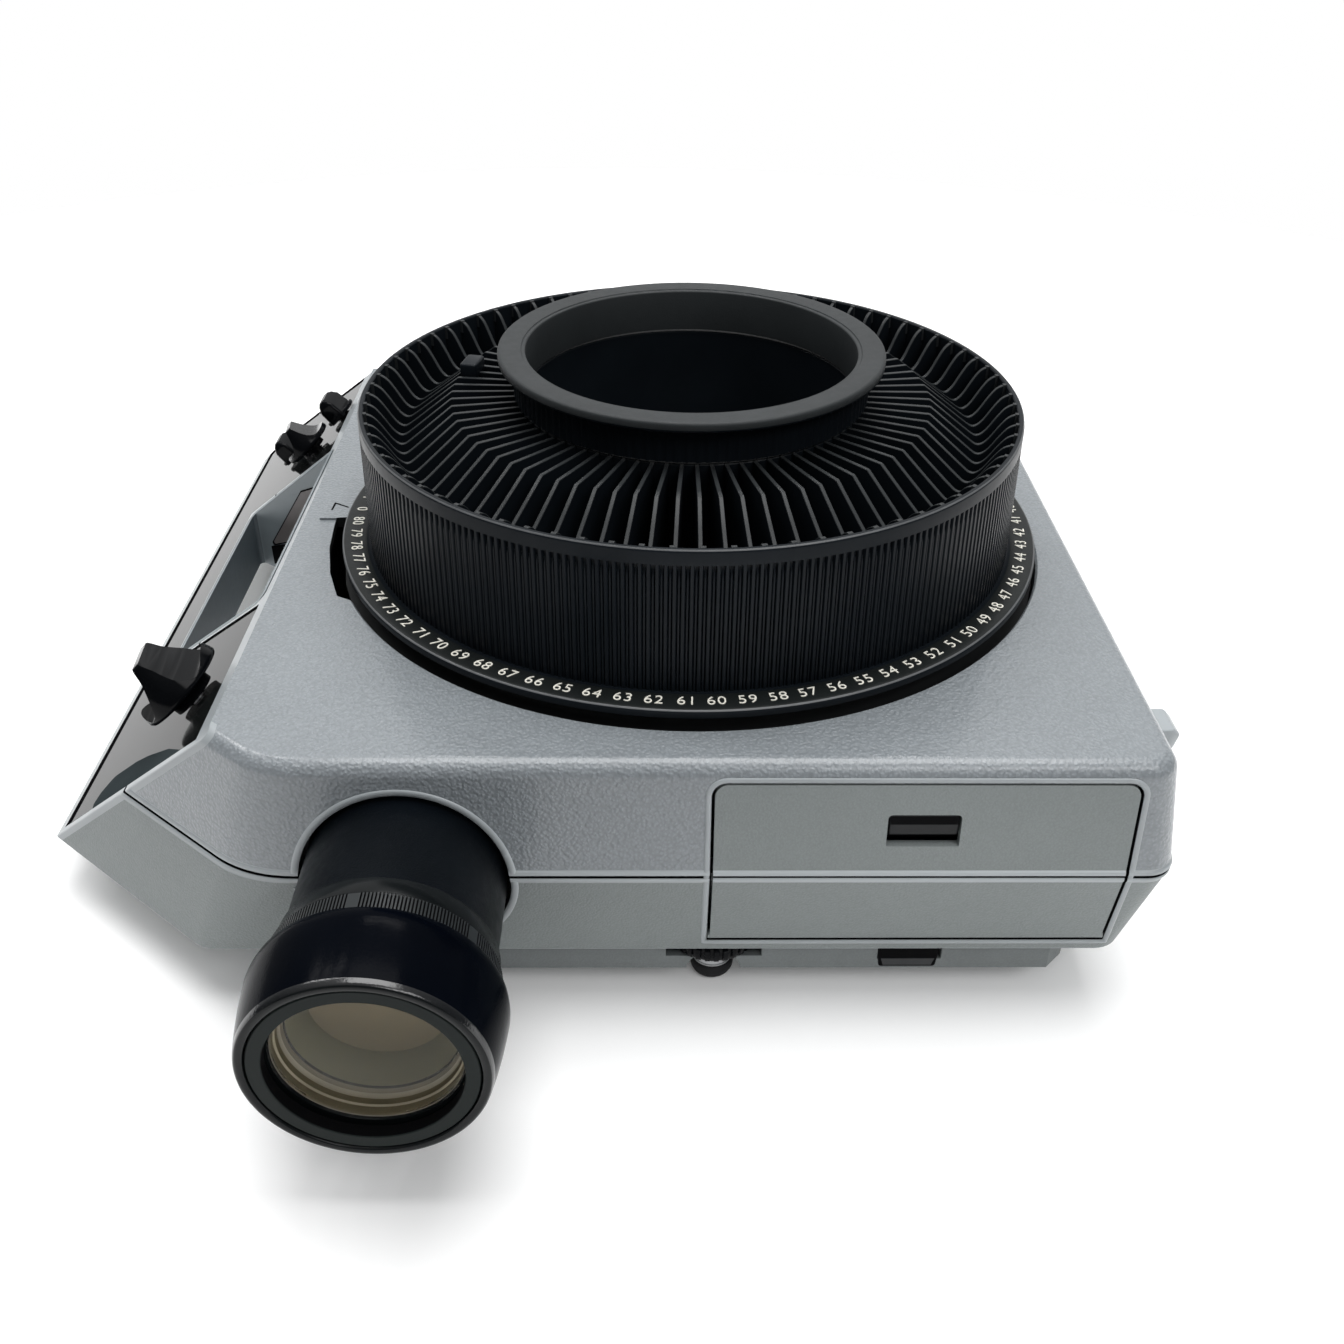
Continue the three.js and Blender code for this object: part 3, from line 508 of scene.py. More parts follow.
# tints for what is seen in the lens glass: painted reflections, with lighter step rings as painted highlights
M["lens_back"] = make_mat("lens_back_tint", (0.235, 0.200, 0.150, 1), 0.45, spec=0.3, tint=0.03, layers=(("fine", 1700, 0.05, 0.03),))
M["lens_olive"] = make_mat("lens_olive_tint", (0.165, 0.162, 0.112, 1), 0.35, spec=0.25, tint=0.04, layers=(("fine", 1700, 0.05, 0.03),))
M["lens_step_light"] = make_mat("lens_step_light", (0.50, 0.48, 0.45, 1), 0.30, spec=0.5, tint=0.1, layers=(("fine", 1700, 0.12, 0.03),))
M["lens_edge"] = make_mat("lens_edge_black", (0.0030, 0.0036, 0.0045, 1), 0.16, spec=0.6, tint=0.2,
                          layers=(("noise", 1500, 0.55, 0.08),), rough_var=0.06)
M["label_ring"] = make_mat("label_ring", (0.0105, 0.0138, 0.0132, 1), 0.40, spec=0.08, tint=0.1,
                           layers=(("fine", 1700, 0.12, 0.03),))
M["lens_step"] = make_mat("lens_step_ring", (0.20, 0.180, 0.150, 1), 0.30, spec=0.5, tint=0.1,
                          layers=(("fine", 1700, 0.12, 0.03),))
M["knob"] = make_mat("knob_gloss", (0.0024, 0.0028, 0.0036, 1), 0.14, spec=0.5, ior=1.17, tint=0.2,
                     layers=(("fine", 700, 0.05, 0.03),), rough_var=0.05)
M["plate"] = make_mat("plate_gloss", (0.006, 0.0068, 0.0068, 1), 0.06, ior=1.078, spec=0.5, tint=0.05, tint_scale=90,
                      layers=(("fine", 260, 0.02, 0.02),), rough_var=0.02)
# matte dark patch: painted reflection of shade on the plate
M["plate_dark"] = make_mat("plate_dark_field", (0.034, 0.042, 0.045, 1), 0.6, ior=1.02, spec=0.0, tint=0.08,
                           layers=(("fine", 1400, 0.06, 0.02),), rough_var=0.04)
# the hand hole's walls: a darker copy of the case grey as painted shade, and a lighter copy for the far wall as
# painted light
M["liner"] = make_mat("liner_slate", (0.058, 0.074, 0.084, 1), 0.5, tint=0.08,
                      layers=(("pebble", 1400, 0.40, 0.10),), edge=(srgb(150, 156, 160), 0.35))
M["liner_far"] = make_mat("liner_far_wall", (0.185, 0.215, 0.230, 1), 0.5, tint=0.06,
                          layers=(("pebble", 1400, 0.40, 0.10),))
M["liner_panel"] = make_mat("liner_panel", (0.125, 0.112, 0.110, 1), 0.5, tint=0.06,
                            layers=(("pebble", 1600, 0.2, 0.06),))
M["steel"] = make_mat("steel_brushed", (0.56, 0.57, 0.58, 1), 0.30, metal=1.0, tint=0.06,
                      layers=(("brush_z", 3000, 0.12, 0.02),))
M["alu"] = make_mat("aluminium", (0.66, 0.67, 0.68, 1), 0.36, metal=1.0, tint=0.05,
                    layers=(("brush_x", 2600, 0.15, 0.02),))
M["brass"] = make_mat("brass", (0.60, 0.42, 0.15, 1), 0.30, metal=1.0, tint=0.08,
                      layers=(("brush_z", 3000, 0.12, 0.02),))
M["copper"] = make_mat("copper_winding", (0.45, 0.17, 0.06, 1), 0.38, metal=0.8, tint=0.12,
                       layers=(("brush_x", 2200, 0.5, 0.10),))
M["board"] = make_mat("circuit_board", (0.022, 0.115, 0.045, 1), 0.35, tint=0.25, tint_scale=160,
                      layers=(("fine", 1500, 0.2, 0.03),), speck=(420, 0.5, (0.05, 0.19, 0.07, 1)))
M["rubber"] = make_mat("rubber", (0.012, 0.012, 0.013, 1), 0.75, spec=0.25, tint=0.2,
                       layers=(("fine", 1600, 0.35, 0.06),))
M["inner"] = make_mat("inner_black", (0.013, 0.014, 0.015, 1), 0.6, spec=0.25, tint=0.15,
                      layers=(("fine", 1200, 0.25, 0.05),))
# lighter copy of the inner black: painted light on the slot's sill
M["inner_light"] = make_mat("inner_sill_painted_light", (0.030, 0.032, 0.034, 1), 0.5, spec=0.3, tint=0.15, layers=(("fine", 1200, 0.25, 0.05),))
M["bin"] = make_mat("bin_grey", (0.09, 0.095, 0.10, 1), 0.6, tint=0.08, layers=(("pebble", 1400, 0.3, 0.08),))
M["ceramic"] = make_mat("ceramic", (0.62, 0.59, 0.52, 1), 0.6, tint=0.08, layers=(("fine", 900, 0.3, 0.06),))


def make_glass(name, tint, rough=0.0, ior=1.52, spec_tint=None, coat=0.0):
    m = make_mat(name, tint, 0.015, transmission=1.0, ior=ior, tint=0.02, rough_var=0.01, coat=coat, coat_rough=0.02)
    return m


M["glass"] = make_glass("lens_glass", (0.92, 0.89, 0.78, 1), ior=1.20)
M["glass_clear"] = make_glass("clear_glass", (0.93, 0.95, 0.93, 1))

# ============================================================ case geometry
SEAM = 58.0
frontY = lambda z: -144 + 0.12 * (z - SEAM) if z >= SEAM else -144 + 0.178 * (SEAM - z)
rightX = lambda z: 140.5 - 0.1267 * (z - SEAM) if z >= SEAM else 140.5 - 0.2055 * (SEAM - z)
rearY = lambda z: min(212.5, 152 + (95.5 - z))
leftX = lambda z: -139.6 - max(0.0, 94.5 - z) * 1.03289
facetR = lambda z: 38 - (z - SEAM) * 0.2 if z >= SEAM else 38 - (SEAM - z) * 0.75
BAND = 2.6          # plain band beside the edge of the sloped side


def outline(z, d, dl, dr, n=10, grainless=True):
    lines = [((0, -1), -frontY(z) - d), ((1, 0), rightX(z) - d), ((0, 1), rearY(z) - dr),
             ((-1, 0), -leftX(z) - dl), ((-0.632, -0.775), 193.63 - 0.2276 * (z - SEAM) - d)]
    radii = [9, 9, 4, 1.5, facetR(z)]
    out = []
    for i in range(5):
        (an, ac), (bn, bc) = lines[i], lines[(i + 1) % 5]
        det = an[0] * bn[1] - an[1] * bn[0]
        x = (ac * bn[1] - an[1] * bc) / det
        y = (an[0] * bc - ac * bn[0]) / det
        r = max(radii[i] - d, 0.4)
        turn = math.acos(max(-1, min(1, an[0] * bn[0] + an[1] * bn[1])))
        t = r / math.cos(turn / 2)
        mx, my = (an[0] + bn[0]) / 2, (an[1] + bn[1]) / 2
        ml = math.hypot(mx, my)
        cx, cy = x - mx / ml * t, y - my / ml * t
        a0 = math.atan2(an[1], an[0])
        for k in range(n + 1):
            g = a0 + turn * k / n
            out.append((cx + r * math.cos(g), cy + r * math.sin(g), z))
        if i == 3:      # one more point on the facet, where its grain starts
            e = out[-1]
            out.append((e[0] + 0.775 * BAND, e[1] - 0.632 * BAND, z))
    return out


def loft(name, rings, mats, row_mat, n=10, caps=None):
    pts, faces, fm = [], [], []
    P = [outline(*r, n=n) for r in rings]
    m = len(P[0])
    for p in P:
        pts += p
    for a in range(len(P) - 1):
        for i in range(m):
            j = (i + 1) % m
            faces.append([a * m + i, a * m + j, (a + 1) * m + j, (a + 1) * m + i])
            k = row_mat[a]
            if k != 2 and 2 * (n + 1) + n // 2 <= i <= 4 * (n + 1) - 1:
                k = 1                     # sloped side and the band beside it: no grain
            fm.append(k)
    faces.append(list(range(m))[::-1]); fm.append(caps[0] if caps else row_mat[0])
    faces.append([(len(P) - 1) * m + i for i in range(m)]); fm.append(caps[1] if caps else row_mat[-1])
    return outward(new_obj(name, pts, faces, mats, fm))


def top_rings(zmax=95.5, R=4.6):
    out = []
    for a in (0, 12, 24, 36, 48, 60, 72, 81, 90):
        z = zmax - R * (1 - math.sin(rad(a)))
        d = R * (1 - math.cos(rad(a)))
        out.append((z, d, 0.0, d * 0.5))
    return out


def case_inner(name):
    rings = [(23.5, 3, 4.3, 3.4), (36, 3, 4.3, 4.2), (58, 3, 4.3, 4.2), (84, 3, 4.3, 4.2), (92.5, 8, 4.3, 7)]
    return loft(name, rings, (), [0, 0, 0, 0], n=6)


HOLE = [(-146.4, -39), (-190.6, -8), (-190.6, 103.5), (-144.8, 72)]
PLATE = [(-118.9, 8), (-84.4, 98.5), (208.2, 98.5), (208.2, 85), (154.6, 8), (76.6, 8), (111.2, 75.6), (-10.2, 75.6), (-44.8, 8)]
DOOR = dict(x0=3.8, x1=125.5, z0=27.0, z1=89.8)
LX, LZ = -84.4, 55.0
KNOBS = {"power": (50, 135), "mode": (27, 106), "timer": (13, 121)}
KS, KY = 26.0, -80.0
FX, FY = 6.5, -123.5


def door_poly(inset=0.0, r=4.5, n=8):
    x0, x1, z0, z1 = DOOR["x0"] + inset, DOOR["x1"] - inset, DOOR["z0"] + inset, DOOR["z1"] - inset
    p = [(x0, z0), (x1, z0)]
    rr = r - inset
    for k in range(n + 1):
        p.append((x1 - rr + rr * math.cos(rad(90 * k / n)), z1 - rr + rr * math.sin(rad(90 * k / n))))
    for k in range(n + 1):
        p.append((x0 + rr - rr * math.sin(rad(90 * k / n)), z1 - rr + rr * math.cos(rad(90 * k / n))))
    return p


def knob_rods(tag):
    spots = [(KS, KY)] + list(KNOBS.values())
    return [rod(f"{tag}{i}", on_slope(s, y, -12), on_slope(s, y, 6), 3.4, 32) for i, (s, y) in enumerate(spots)]


# the third material is the shadow-gap black: the seam faces take it as painted shade
SHELL_MATS = (M["case"], M["case_smooth"], M["gap"])
LOW_MATS = (M["case_fine"], M["case_smooth"], M["gap"])


def bead_rows_up(z):
    """Raised plain bead just above a seam at z."""
    return [(z, 0.35, 0, 0), (z + 0.12, 0.0, 0, -0.0), (z + 0.45, -0.30, 0, -0.25), (z + 1.0, -0.38, 0, -0.3), (z + 1.6, -0.28, 0, -0.2), (z + 1.95, 0.05, 0, 0.05), (z + 2.25, 0.0, 0, 0)]


# ---- upper shell
rings = bead_rows_up(SEAM + 0.32) + top_rings()
upper = loft("upper_shell_fine", rings, SHELL_MATS, [2] + [1] * 5 + [0] * (len(rings) - 7), caps=(2, 0))
skirt = revolve("skirt", [(123.1, 86.2), (125.4, 86.2), (125.4, 94), (123.1, 94)], 192)
tab = prism("tab", [(-133.8, 4), (-120, 4), (-120, 19.6), (-133.8, 19.6)], 94, 96.3)
boolean(upper, [case_inner("ci")])
boolean(upper, [tab, skirt], "UNION")
# the notch and lens cutters give their cut faces inner black, the door and plate cutters shadow-gap black: painted
# shade in the openings
cuts = [revolve("rc", [(0, 80), (123.1, 80), (123.1, 94.7), (124.1, 95.9), (124.1, 99), (0, 99)], 256),
        prism("notch", rounded([(-118, 5.4), (-127.9, 4.2), (-127.6, -1), (-126.2, -16.4), (-122.4, -34.4), (-117.2, -49.4), (-111.5, -52.5), (-108, -40)], [0, 0.6, 3, 9, 9, 0.8, 0, 0]), 84, 100, mats=(M["inner"],)),
        rod("lc", (LX, -160, LZ), (LX, -130, LZ), 30.6, 128, (M["inner"],)),
        prism("dc", door_poly(), 120, 160, ALONG_Y, (M["gap"],)),
        prism("hc", rounded(grow(HOLE, 2.3), 3.0), 0, 110),
        prism("pk", grow(PLATE, 0.5), -1.5, 4, SLOPE, (M["gap"],)),
        box("eg", -50, 12, -6, 80, 42, 4, REAR)] + knob_rods("ku")
boolean(upper, cuts)
shade(upper, 30)
done(upper, "root", "case_grey", "upper_shell")

# ---- lower shell
rows = [(21.5, 1.2, 1.2, 1.2), (21.85, 0.45, 0.45, 0.45), (22.6, 0, 0, 0), (35, 0, 0, 0)]
b = bead_rows_up(0.0)
down = [(SEAM - 0.42 - z, d, dl, dr) for (z, d, dl, dr) in b][::-1]
rings = rows + down
lower = loft("lower_shell_fine", rings, LOW_MATS, [1, 1, 0, 0] + [1] * (len(down) - 2) + [2], caps=(0, 2))
boolean(lower, [case_inner("ci2")])
# the lens cutter gives its cut faces inner black, the door and plate cutters shadow-gap black: painted shade in the
# openings
cuts = [rod("lc", (LX, -160, LZ), (LX, -130, LZ), 30.6, 128, (M["inner"],)),
        prism("dc", door_poly(), 120, 160, ALONG_Y, (M["gap"],)),
        prism("hc", rounded(grow(HOLE, 2.3), 3.0), 0, 110),
        prism("pk", grow(PLATE, 0.5), -1.5, 4, SLOPE, (M["gap"],)),
        box("ic", 125, 149.7, 27.7, 150, 178.3, 50.3),
        rod("sc", (125, 125, 41), (150, 125, 41), 8.6, 48),
        rod("fc", (FX, FY, 15), (FX, FY, 30), 4.6, 40)] + knob_rods("kl")
boolean(lower, cuts)
shade(lower, 30)
done(lower, "root", "case_grey", "lower_shell")

# ---- door: the same walls, with a groove and beads where the seam crosses it
g = 0.34
rings = [(21.5, 0, 0, 0), (35, 0, 0, 0)] + [(SEAM - g - 2.1, 0, 0, 0), (SEAM - g - 1.8, 0.05, 0, 0), (SEAM - g - 1.5, -0.28, 0, 0), (SEAM - g - 0.9, -0.36, 0, 0),
         (SEAM - g - 0.35, -0.28, 0, 0), (SEAM - g, 0.05, 0, 0), (SEAM - g + 0.05, 1.5, 0, 0), (SEAM + g - 0.05, 1.5, 0, 0), (SEAM + g, 0.05, 0, 0),
         (SEAM + g + 0.35, -0.28, 0, 0), (SEAM + g + 0.9, -0.36, 0, 0), (SEAM + g + 1.5, -0.28, 0, 0), (SEAM + g + 1.8, 0.05, 0, 0), (SEAM + g + 2.1, 0, 0, 0)] + top_rings()
# the faces of the seam groove across the door take the shadow-gap black: painted shade
rm = [0, 0] + [1] * 5 + [2] * 3 + [1] * 5 + [0] * (len(rings) - 16)
door = loft("access_door_fine", rings, LOW_MATS, rm)
inn = loft("di", [(20, 2.7, 4.3, 3.4), (35, 2.7, 4.3, 4.2), (58, 2.7, 4.3, 4.2), (98, 2.7, 4.3, 4.2)], (), [0, 0, 0], n=4)
boolean(door, [inn])
dp = door_poly(0.62)
dp = [(x - 0.3 if x > 100 else (x + 0.35 if x < 30 else x), z) for x, z in dp]
dp[0] = (dp[0][0], 28.8); dp[1] = (dp[1][0], 28.8)
boolean(door, [prism("dpz", dp, 120, 160, ALONG_Y)], "INTERSECT")
hinge = rod("hb", (4.1, -137.3, 28.8), (125.2, -137.3, 28.8), 1.5, 24)
boolean(door, [hinge], "UNION")
boolean(door, [prism("dw", rounded([(54, 68.7), (75, 68.7), (75, 79.3), (54, 79.3)], [0.5, 0.5, 1.3, 1.3], 4), 130, 150, ALONG_Y),
               rod("hp", (0, -137.3, 28.8), (130, -137.3, 28.8), 1.05, 20)])
bevel(door, 0.32, 2, 50)
shade(door, 30)
done(door, "door", "case_grey", "access_door")

# ---- plain raised beads round the door opening and the lens opening
def on_front(x, z, out=0.0):
    return (x, frontY(z) - out, z)


def front_line(poly, step=4.0):
    pts = []
    for i, p in enumerate(poly):
        q = poly[(i + 1) % len(poly)]
        L = math.hypot(q[0] - p[0], q[1] - p[1])
        k = max(1, int(L / step))
        for t in range(k):
            pts.append((p[0] + (q[0] - p[0]) * t / k, p[1] + (q[1] - p[1]) * t / k))
    return [on_front(x, z) for x, z in pts]


bead = tube("door_opening_bead", front_line(door_poly(-0.95, 4.5)), 0.8, 10, True, (M["case_smooth"],), 0.45, up=(0, 1, 0))
shade(bead, 60, False)
done(bead, "root", "case_grey")
ring_pts = []
for k in range(97):
    a = math.radians(-6 + 192 * k / 96)
    x, z = LX + 31.7 * math.cos(a), LZ + 31.7 * math.sin(a)
    if z > SEAM + 0.6:
        ring_pts.append(on_front(x, z))
lb = tube("lens_opening_bead_upper", ring_pts, 1.05, 10, False, (M["case_smooth"],), 0.45, up=(0, 1, 0))
shade(lb, 60, False)
done(lb, "root", "case_grey")
ring_pts = []
for k in range(97):
    a = math.radians(-6 - 180 * k / 96 + 9)
    x, z = LX + 31.7 * math.cos(a), LZ + 31.7 * math.sin(a)
    if z < SEAM - 0.6:
        ring_pts.append(on_front(x, z))
lb = tube("lens_opening_bead_lower", ring_pts, 1.05, 10, False, (M["case_smooth"],), 0.45, up=(0, 1, 0))
shade(lb, 60, False)
done(lb, "root", "case_grey")

# ---- angled mark on the index tab
mk = [(-130.9, 10.1), (-130.2, 10.1), (-129.9, 15.1), (-124.9, 12.1), (-124.6, 12.7), (-130.4, 16.3), (-130.6, 16.2)]
mark = prism("index_mark", mk, 96.28, 96.34, mats=(M["gap"],))
shade(mark, 30, False)
done(mark, "root", "inner_black")

# ============================================================ sloped side
PLATE_V = [(y + (0.6 if s_ > 80 and y > 200 else 0), s_ - (1.9 if s_ > 98 else 0)) for y, s_ in PLATE]
poly = rounded(grow(PLATE_V, -0.25), [0.8] * 9, 3)
plate = prism("control_plate_fine", poly, -1.2, -0.5, SLOPE, (M["plate"],))
boolean(plate, knob_rods("kp"))
bevel(plate, 0.16, 2, 40)
shade(plate, 25)
done(plate, "root", "control_plate", "control_plate")
# black sheet under the plate's edge that shows in the gap round it: painted shade
edge_shade_strip = prism("plate_edge_shade", rounded(grow(PLATE, 0.34), [1.0] * 9, 3), -1.45, -1.25, SLOPE, (M["gap"],))
boolean(edge_shade_strip, knob_rods("kg"))
shade(edge_shade_strip, 30, False)
done(edge_shade_strip, "root", "inner_black")

# painted reflection of shade at the plate's front corner, (y, s): a matte dark patch
dark_reflection_outline = [(-114.4, 18.2), (-103.0, 30.3), (-91.2, 47.5), (-85.9, 56.9), (-79.6, 73.0), (-82.6, 79.5), (-87.0, 81.0), (-90.8, 79.6)]
dark = prism("plate_dark_field", rounded(dark_reflection_outline, [0.3, 4, 8, 8, 5, 3, 3, 1.5], 4), -0.50, -0.44, SLOPE, (M["plate_dark"],))
shade(dark, 30, False)
done(dark, "root", "control_plate")

# ---- hand-hole liner
def solid_case(name):
    rings = [(21.5, 0, 0, 0), (35, 0, 0, 0), (58, 0, 0, 0), (87.5, 0, 0, 0), (95.5, 8, 0, 4)]
    return loft(name, rings, (), [0] * 4, n=6)


FAR_N = (-0.567, -0.824)
well = prism("handle_well_fine", rounded(grow(HOLE, 2), 3.0), 10, 110, mats=(M["liner"],))
boolean(well, [solid_case("sc2")], "INTERSECT")
boolean(well, [prism("wh", rounded(HOLE, 1.6), 0, 120)])
bevel(well, 0.45, 2, 35)
well.data.materials.append(M["liner_far"])
for p in well.data.polygons:        # painted light: the wall that faces the front right takes the lighter copy of the liner colour
    if p.normal.x * FAR_N[0] + p.normal.y * FAR_N[1] > 0.97:
        p.material_index = 1
shade(well, 30)
done(well, "root", "liner_slate", "handle_well")

# raised panel low on the far wall of the hand hole, and the recess under it, drawn as a flat black sheet of painted
# shade
FA, FB = np.array([-190.6, 103.5, 0.0]), np.array([-144.8, 72.0, 0.0])
FE = (FB - FA) / np.linalg.norm(FB - FA)
FAR = ident(FA, FE, (0, 0, 1), (-abs(FE[1]), -abs(FE[0]), 0))      # (along the wall, z, out of it)
panel = prism("handle_well_panel", rounded([(10.2, 33.8), (24.7, 40.3), (45.8, 71.9), (35.2, 66.7)], 0.8, 3), -0.05, 0.9, FAR, (M["liner_panel"],))
bevel(panel, 0.35, 2, 40)
# a dark outline round the panel in the shadow-gap black: painted shade
rim = prism("rim", rounded(grow([(10.2, 33.8), (24.7, 40.3), (45.8, 71.9), (35.2, 66.7)], 0.7), 1.0, 3), -0.05, 0.25, FAR, (M["gap"],))
panel = joined("handle_well_panel", [panel, rim])
shade(panel, 30)
done(panel, "root", "liner_slate")
# flat black sheet: painted shade in the recess
notch = prism("handle_well_recess", [(8.8, 23.1), (8.8, 32.3), (25.5, 39.3), (20.0, 30.0)], -0.05, 0.12, FAR, (M["gap"],))
shade(notch, 30, False)
done(notch, "root", "inner_black")

# ============================================================ focus knob
def frame_at(s, y, ang):
    """Local frame on the slope: x is the wing direction, y the ridge direction, z outward."""
    o = on_slope(s, y, 0)
    xs = np.array([-math.cos(ang), math.sin(ang)])     # (s, y) of the wing direction
    ys = np.array([-math.sin(ang), -math.cos(ang)])
    X = SU * xs[0] + np.array([0, 1.0, 0]) * xs[1]
    Y = SU * ys[0] + np.array([0, 1.0, 0]) * ys[1]
    return (o, X, Y, SN)


def scoop_knob(name, frm, R, Rt, H, skirt_h, ridge, mats, stem=None, deep=False):
    """A round knob with a finger scoop on each side of a ridge."""
    prof = [(0, 0.7), (R * 0.5, 0.7), (R * 0.5, 2.6), (R * 0.56, skirt_h - 0.6), (R * 0.9, skirt_h), (R * 0.975, skirt_h + 0.35), (R, skirt_h + 1.0),
            (R * 0.99, skirt_h + 2.0), (R * 0.93, H * 0.52), (Rt + 1.1, H * 0.78), (Rt + 0.2, H - 0.9), (Rt - 0.3, H - 0.3), (Rt - 1.0, H), (0, H)]
    k = revolve(name, prof, 96, frm, mats)
    hs = skirt_h + 2.3
    # scoop section in (a, h), from the ridge to beyond the rim
    sec = []
    for t in np.linspace(0, 1, 22):
        a = ridge + (R + 3 - ridge) * t
        q = (a - ridge) / (R - ridge)
        h = hs + (H - hs) * max(0.0, (1 - q / 0.80)) ** 2.6 + 0.9 * max(0, q - 0.72) ** 2 * 6
        if deep:
            h = 5.9 + (H - 5.9) * max(0.0, 1 - q / 0.78) ** 2.3 + 5.0 * max(0.0, (q - 0.55) / 0.45) ** 2
        sec.append((a, h))
    for sg in (1, -1):
        poly = [(sg * a, h) for a, h in sec] + [(sg * (R + 3), H + 6), (sg * ridge, H + 6)]
        f2 = (frm[0], frm[1], frm[3], -frm[2])
        c = prism("scoop", poly, -R - 6, R + 6, f2)
        boolean(k, [c])
    bevel(k, 0.8 if deep else 0.55, 4 if deep else 3, 40, dissolve=False)
    if stem:
        boolean(k, [rod("stem", frm[0] + frm[3] * stem[0], frm[0] + frm[3] * 1.2, stem[1], 24)], "UNION")
    shade(k, 40)
    return k


ang = math.atan2(0.27, 0.96)
knob = scoop_knob("focus_knob_fine", frame_at(KS, KY, ang), 15.4, 9.6, 21.6, 4.6, 1.3, (M["knob"],), deep=True)
done(knob, "focus", "knob_black", "focus_knob")
knob = scoop_knob("mode_knob_fine", frame_at(27, 106, ang), 11.2, 7.6, 15.0, 3.2, 1.2, (M["knob"],), stem=(-8, 2.8))
done(knob, "mode", "knob_black", "mode_knob")


def bar_knob(name, frm, L, Wd, H, R, mats):
    base = revolve(name, [(0, 0.7), (R - 0.6, 0.7), (R, 1.1), (R, 2.2), (R - 0.5, 2.7), (0, 2.7)], 64, frm, mats)
    x, y = Wd / 2, L / 2
    lv = [(0.6, 1.0, 1.0), (2.6, 1.0, 1.0), (H - 3.4, 0.92, 0.96), (H - 1.1, 0.62, 0.84), (H, 0.34, 0.66)]
    v, f = [], []
    for h, kx, ky in lv:
        pts = rounded([(-x * kx, -y * ky), (x * kx, -y * ky), (x * kx, y * ky), (-x * kx, y * ky)], 1.3, 4)
        v += [(p[0], p[1], h) for p in pts]
    n = len(v) // len(lv)
    f = [list(range(n))[::-1], [(len(lv) - 1) * n + i for i in range(n)]]
    for a in range(len(lv) - 1):
        f += [[a * n + i, a * n + (i + 1) % n, (a + 1) * n + (i + 1) % n, (a + 1) * n + i] for i in range(n)]
    grip = outward(new_obj("grip", place(frm, v), f, mats))
    boolean(base, [grip], "UNION")
    slot_ = box("slot", -0.35, -y * 0.6, H - 0.45, 0.35, y * 0.6, H + 2, frm)
    boolean(base, [slot_])
    bevel(base, 0.3, 2, 35, dissolve=False)
    boolean(base, [rod("stem", frm[0] - frm[3] * 8, frm[0] + frm[3] * 1.2, 2.8, 24)], "UNION")
    shade(base, 35)
    return base


def knob_frame(s, y):
    return (on_slope(s, y, 0), SU.copy(), np.array([0, 1.0, 0]), SN.copy())


for nm in ("power", "timer"):
    s, y = KNOBS[nm]
    k = bar_knob(f"{nm}_knob_fine", knob_frame(s, y), 15, 8, 11, 7.5, (M["knob"],))
    done(k, nm, "knob_black", f"{nm}_knob")

# ============================================================ slide tray
NR = 288
T8 = np.array([0.02, 0.36, 0.44, 0.50, 0.60, 0.80, 0.90, 0.96])


def tray_columns():
    t = np.concatenate([(k + T8) / NR for k in range(NR)])
    return t * 2 * math.pi


def drum():
    th = tray_columns()
    rib = np.tile(np.array([0, 0, 0.25, 1.0, 0.34, 0.34, 1.0, 0.25]), NR)      # depth below the rib tops
    notch = np.tile(np.array([0, 0, 0.35, 1.25, 1.3, 1.3, 1.25, 0.35]), NR)
    zero = np.zeros_like(rib)
    lin = lambda z: 112.2 + (z - 101.4) / (147.6 - 101.4) * (111.4 - 112.2)
    rows = []
    R_ = lambda r, z, d=zero, m=0: rows.append((r, z, d, m))
    # material 2 puts a painted highlight on the flange's outer rounding here and on the rim's top chamfer below
    R_(109.9, 98.4); R_(121.4, 98.4); R_(121.85, 98.7); R_(122.0, 99.2); R_(122.0, 100.5); R_(121.8, 100.95, zero, 2); R_(121.3, 101.3, zero, 3); R_(120.4, 101.4, zero, 3)
    R_(113.6, 101.4, zero, 0); R_(113.2, 101.15)
    R_(lin(101.15), 101.15, rib); R_(lin(102.4), 102.4, rib); R_(lin(120), 120, rib); R_(lin(138.6), 138.6, rib); R_(lin(140.3), 140.3, 0.45 * rib + 0.55 * notch)
    R_(lin(141.1), 141.1, notch); R_(lin(142.5), 142.5, notch); R_(lin(142.7), 142.7, 0.3 * notch); R_(lin(142.75), 142.75, zero)
    R_(lin(146.6), 146.6); R_(lin(147.2) - 0.12, 147.2, zero, 2); R_(lin(147.5) - 0.5, 147.58); R_(110.6, 147.6); R_(109.85, 147.5); R_(109.5, 147.1)
    R_(109.5, 145.0)
    nr, nc = len(rows), len(th)
    V = np.zeros((nr, nc, 3))
    for i, (r, z, d, _) in enumerate(rows):
        rr = r - d
        V[i, :, 0] = rr * np.cos(th); V[i, :, 1] = rr * np.sin(th); V[i, :, 2] = z
    idx = np.arange(nr * nc).reshape(nr, nc)
    F, fm = [], []
    for a in range(nr):
        b_ = (a + 1) % nr
        q = np.stack([idx[a], np.roll(idx[a], -1), np.roll(idx[b_], -1), idx[b_]], 1)
        F.append(q); fm += [rows[a][3]] * nc
    o = new_obj("tray_drum_fine", V.reshape(-1, 3), np.concatenate(F).tolist(), (M["tray"], M["tray_grain"], M["tray_edge_painted_highlight"], M["flange"]), fm)
    outward(o)
    return o


dr = drum()
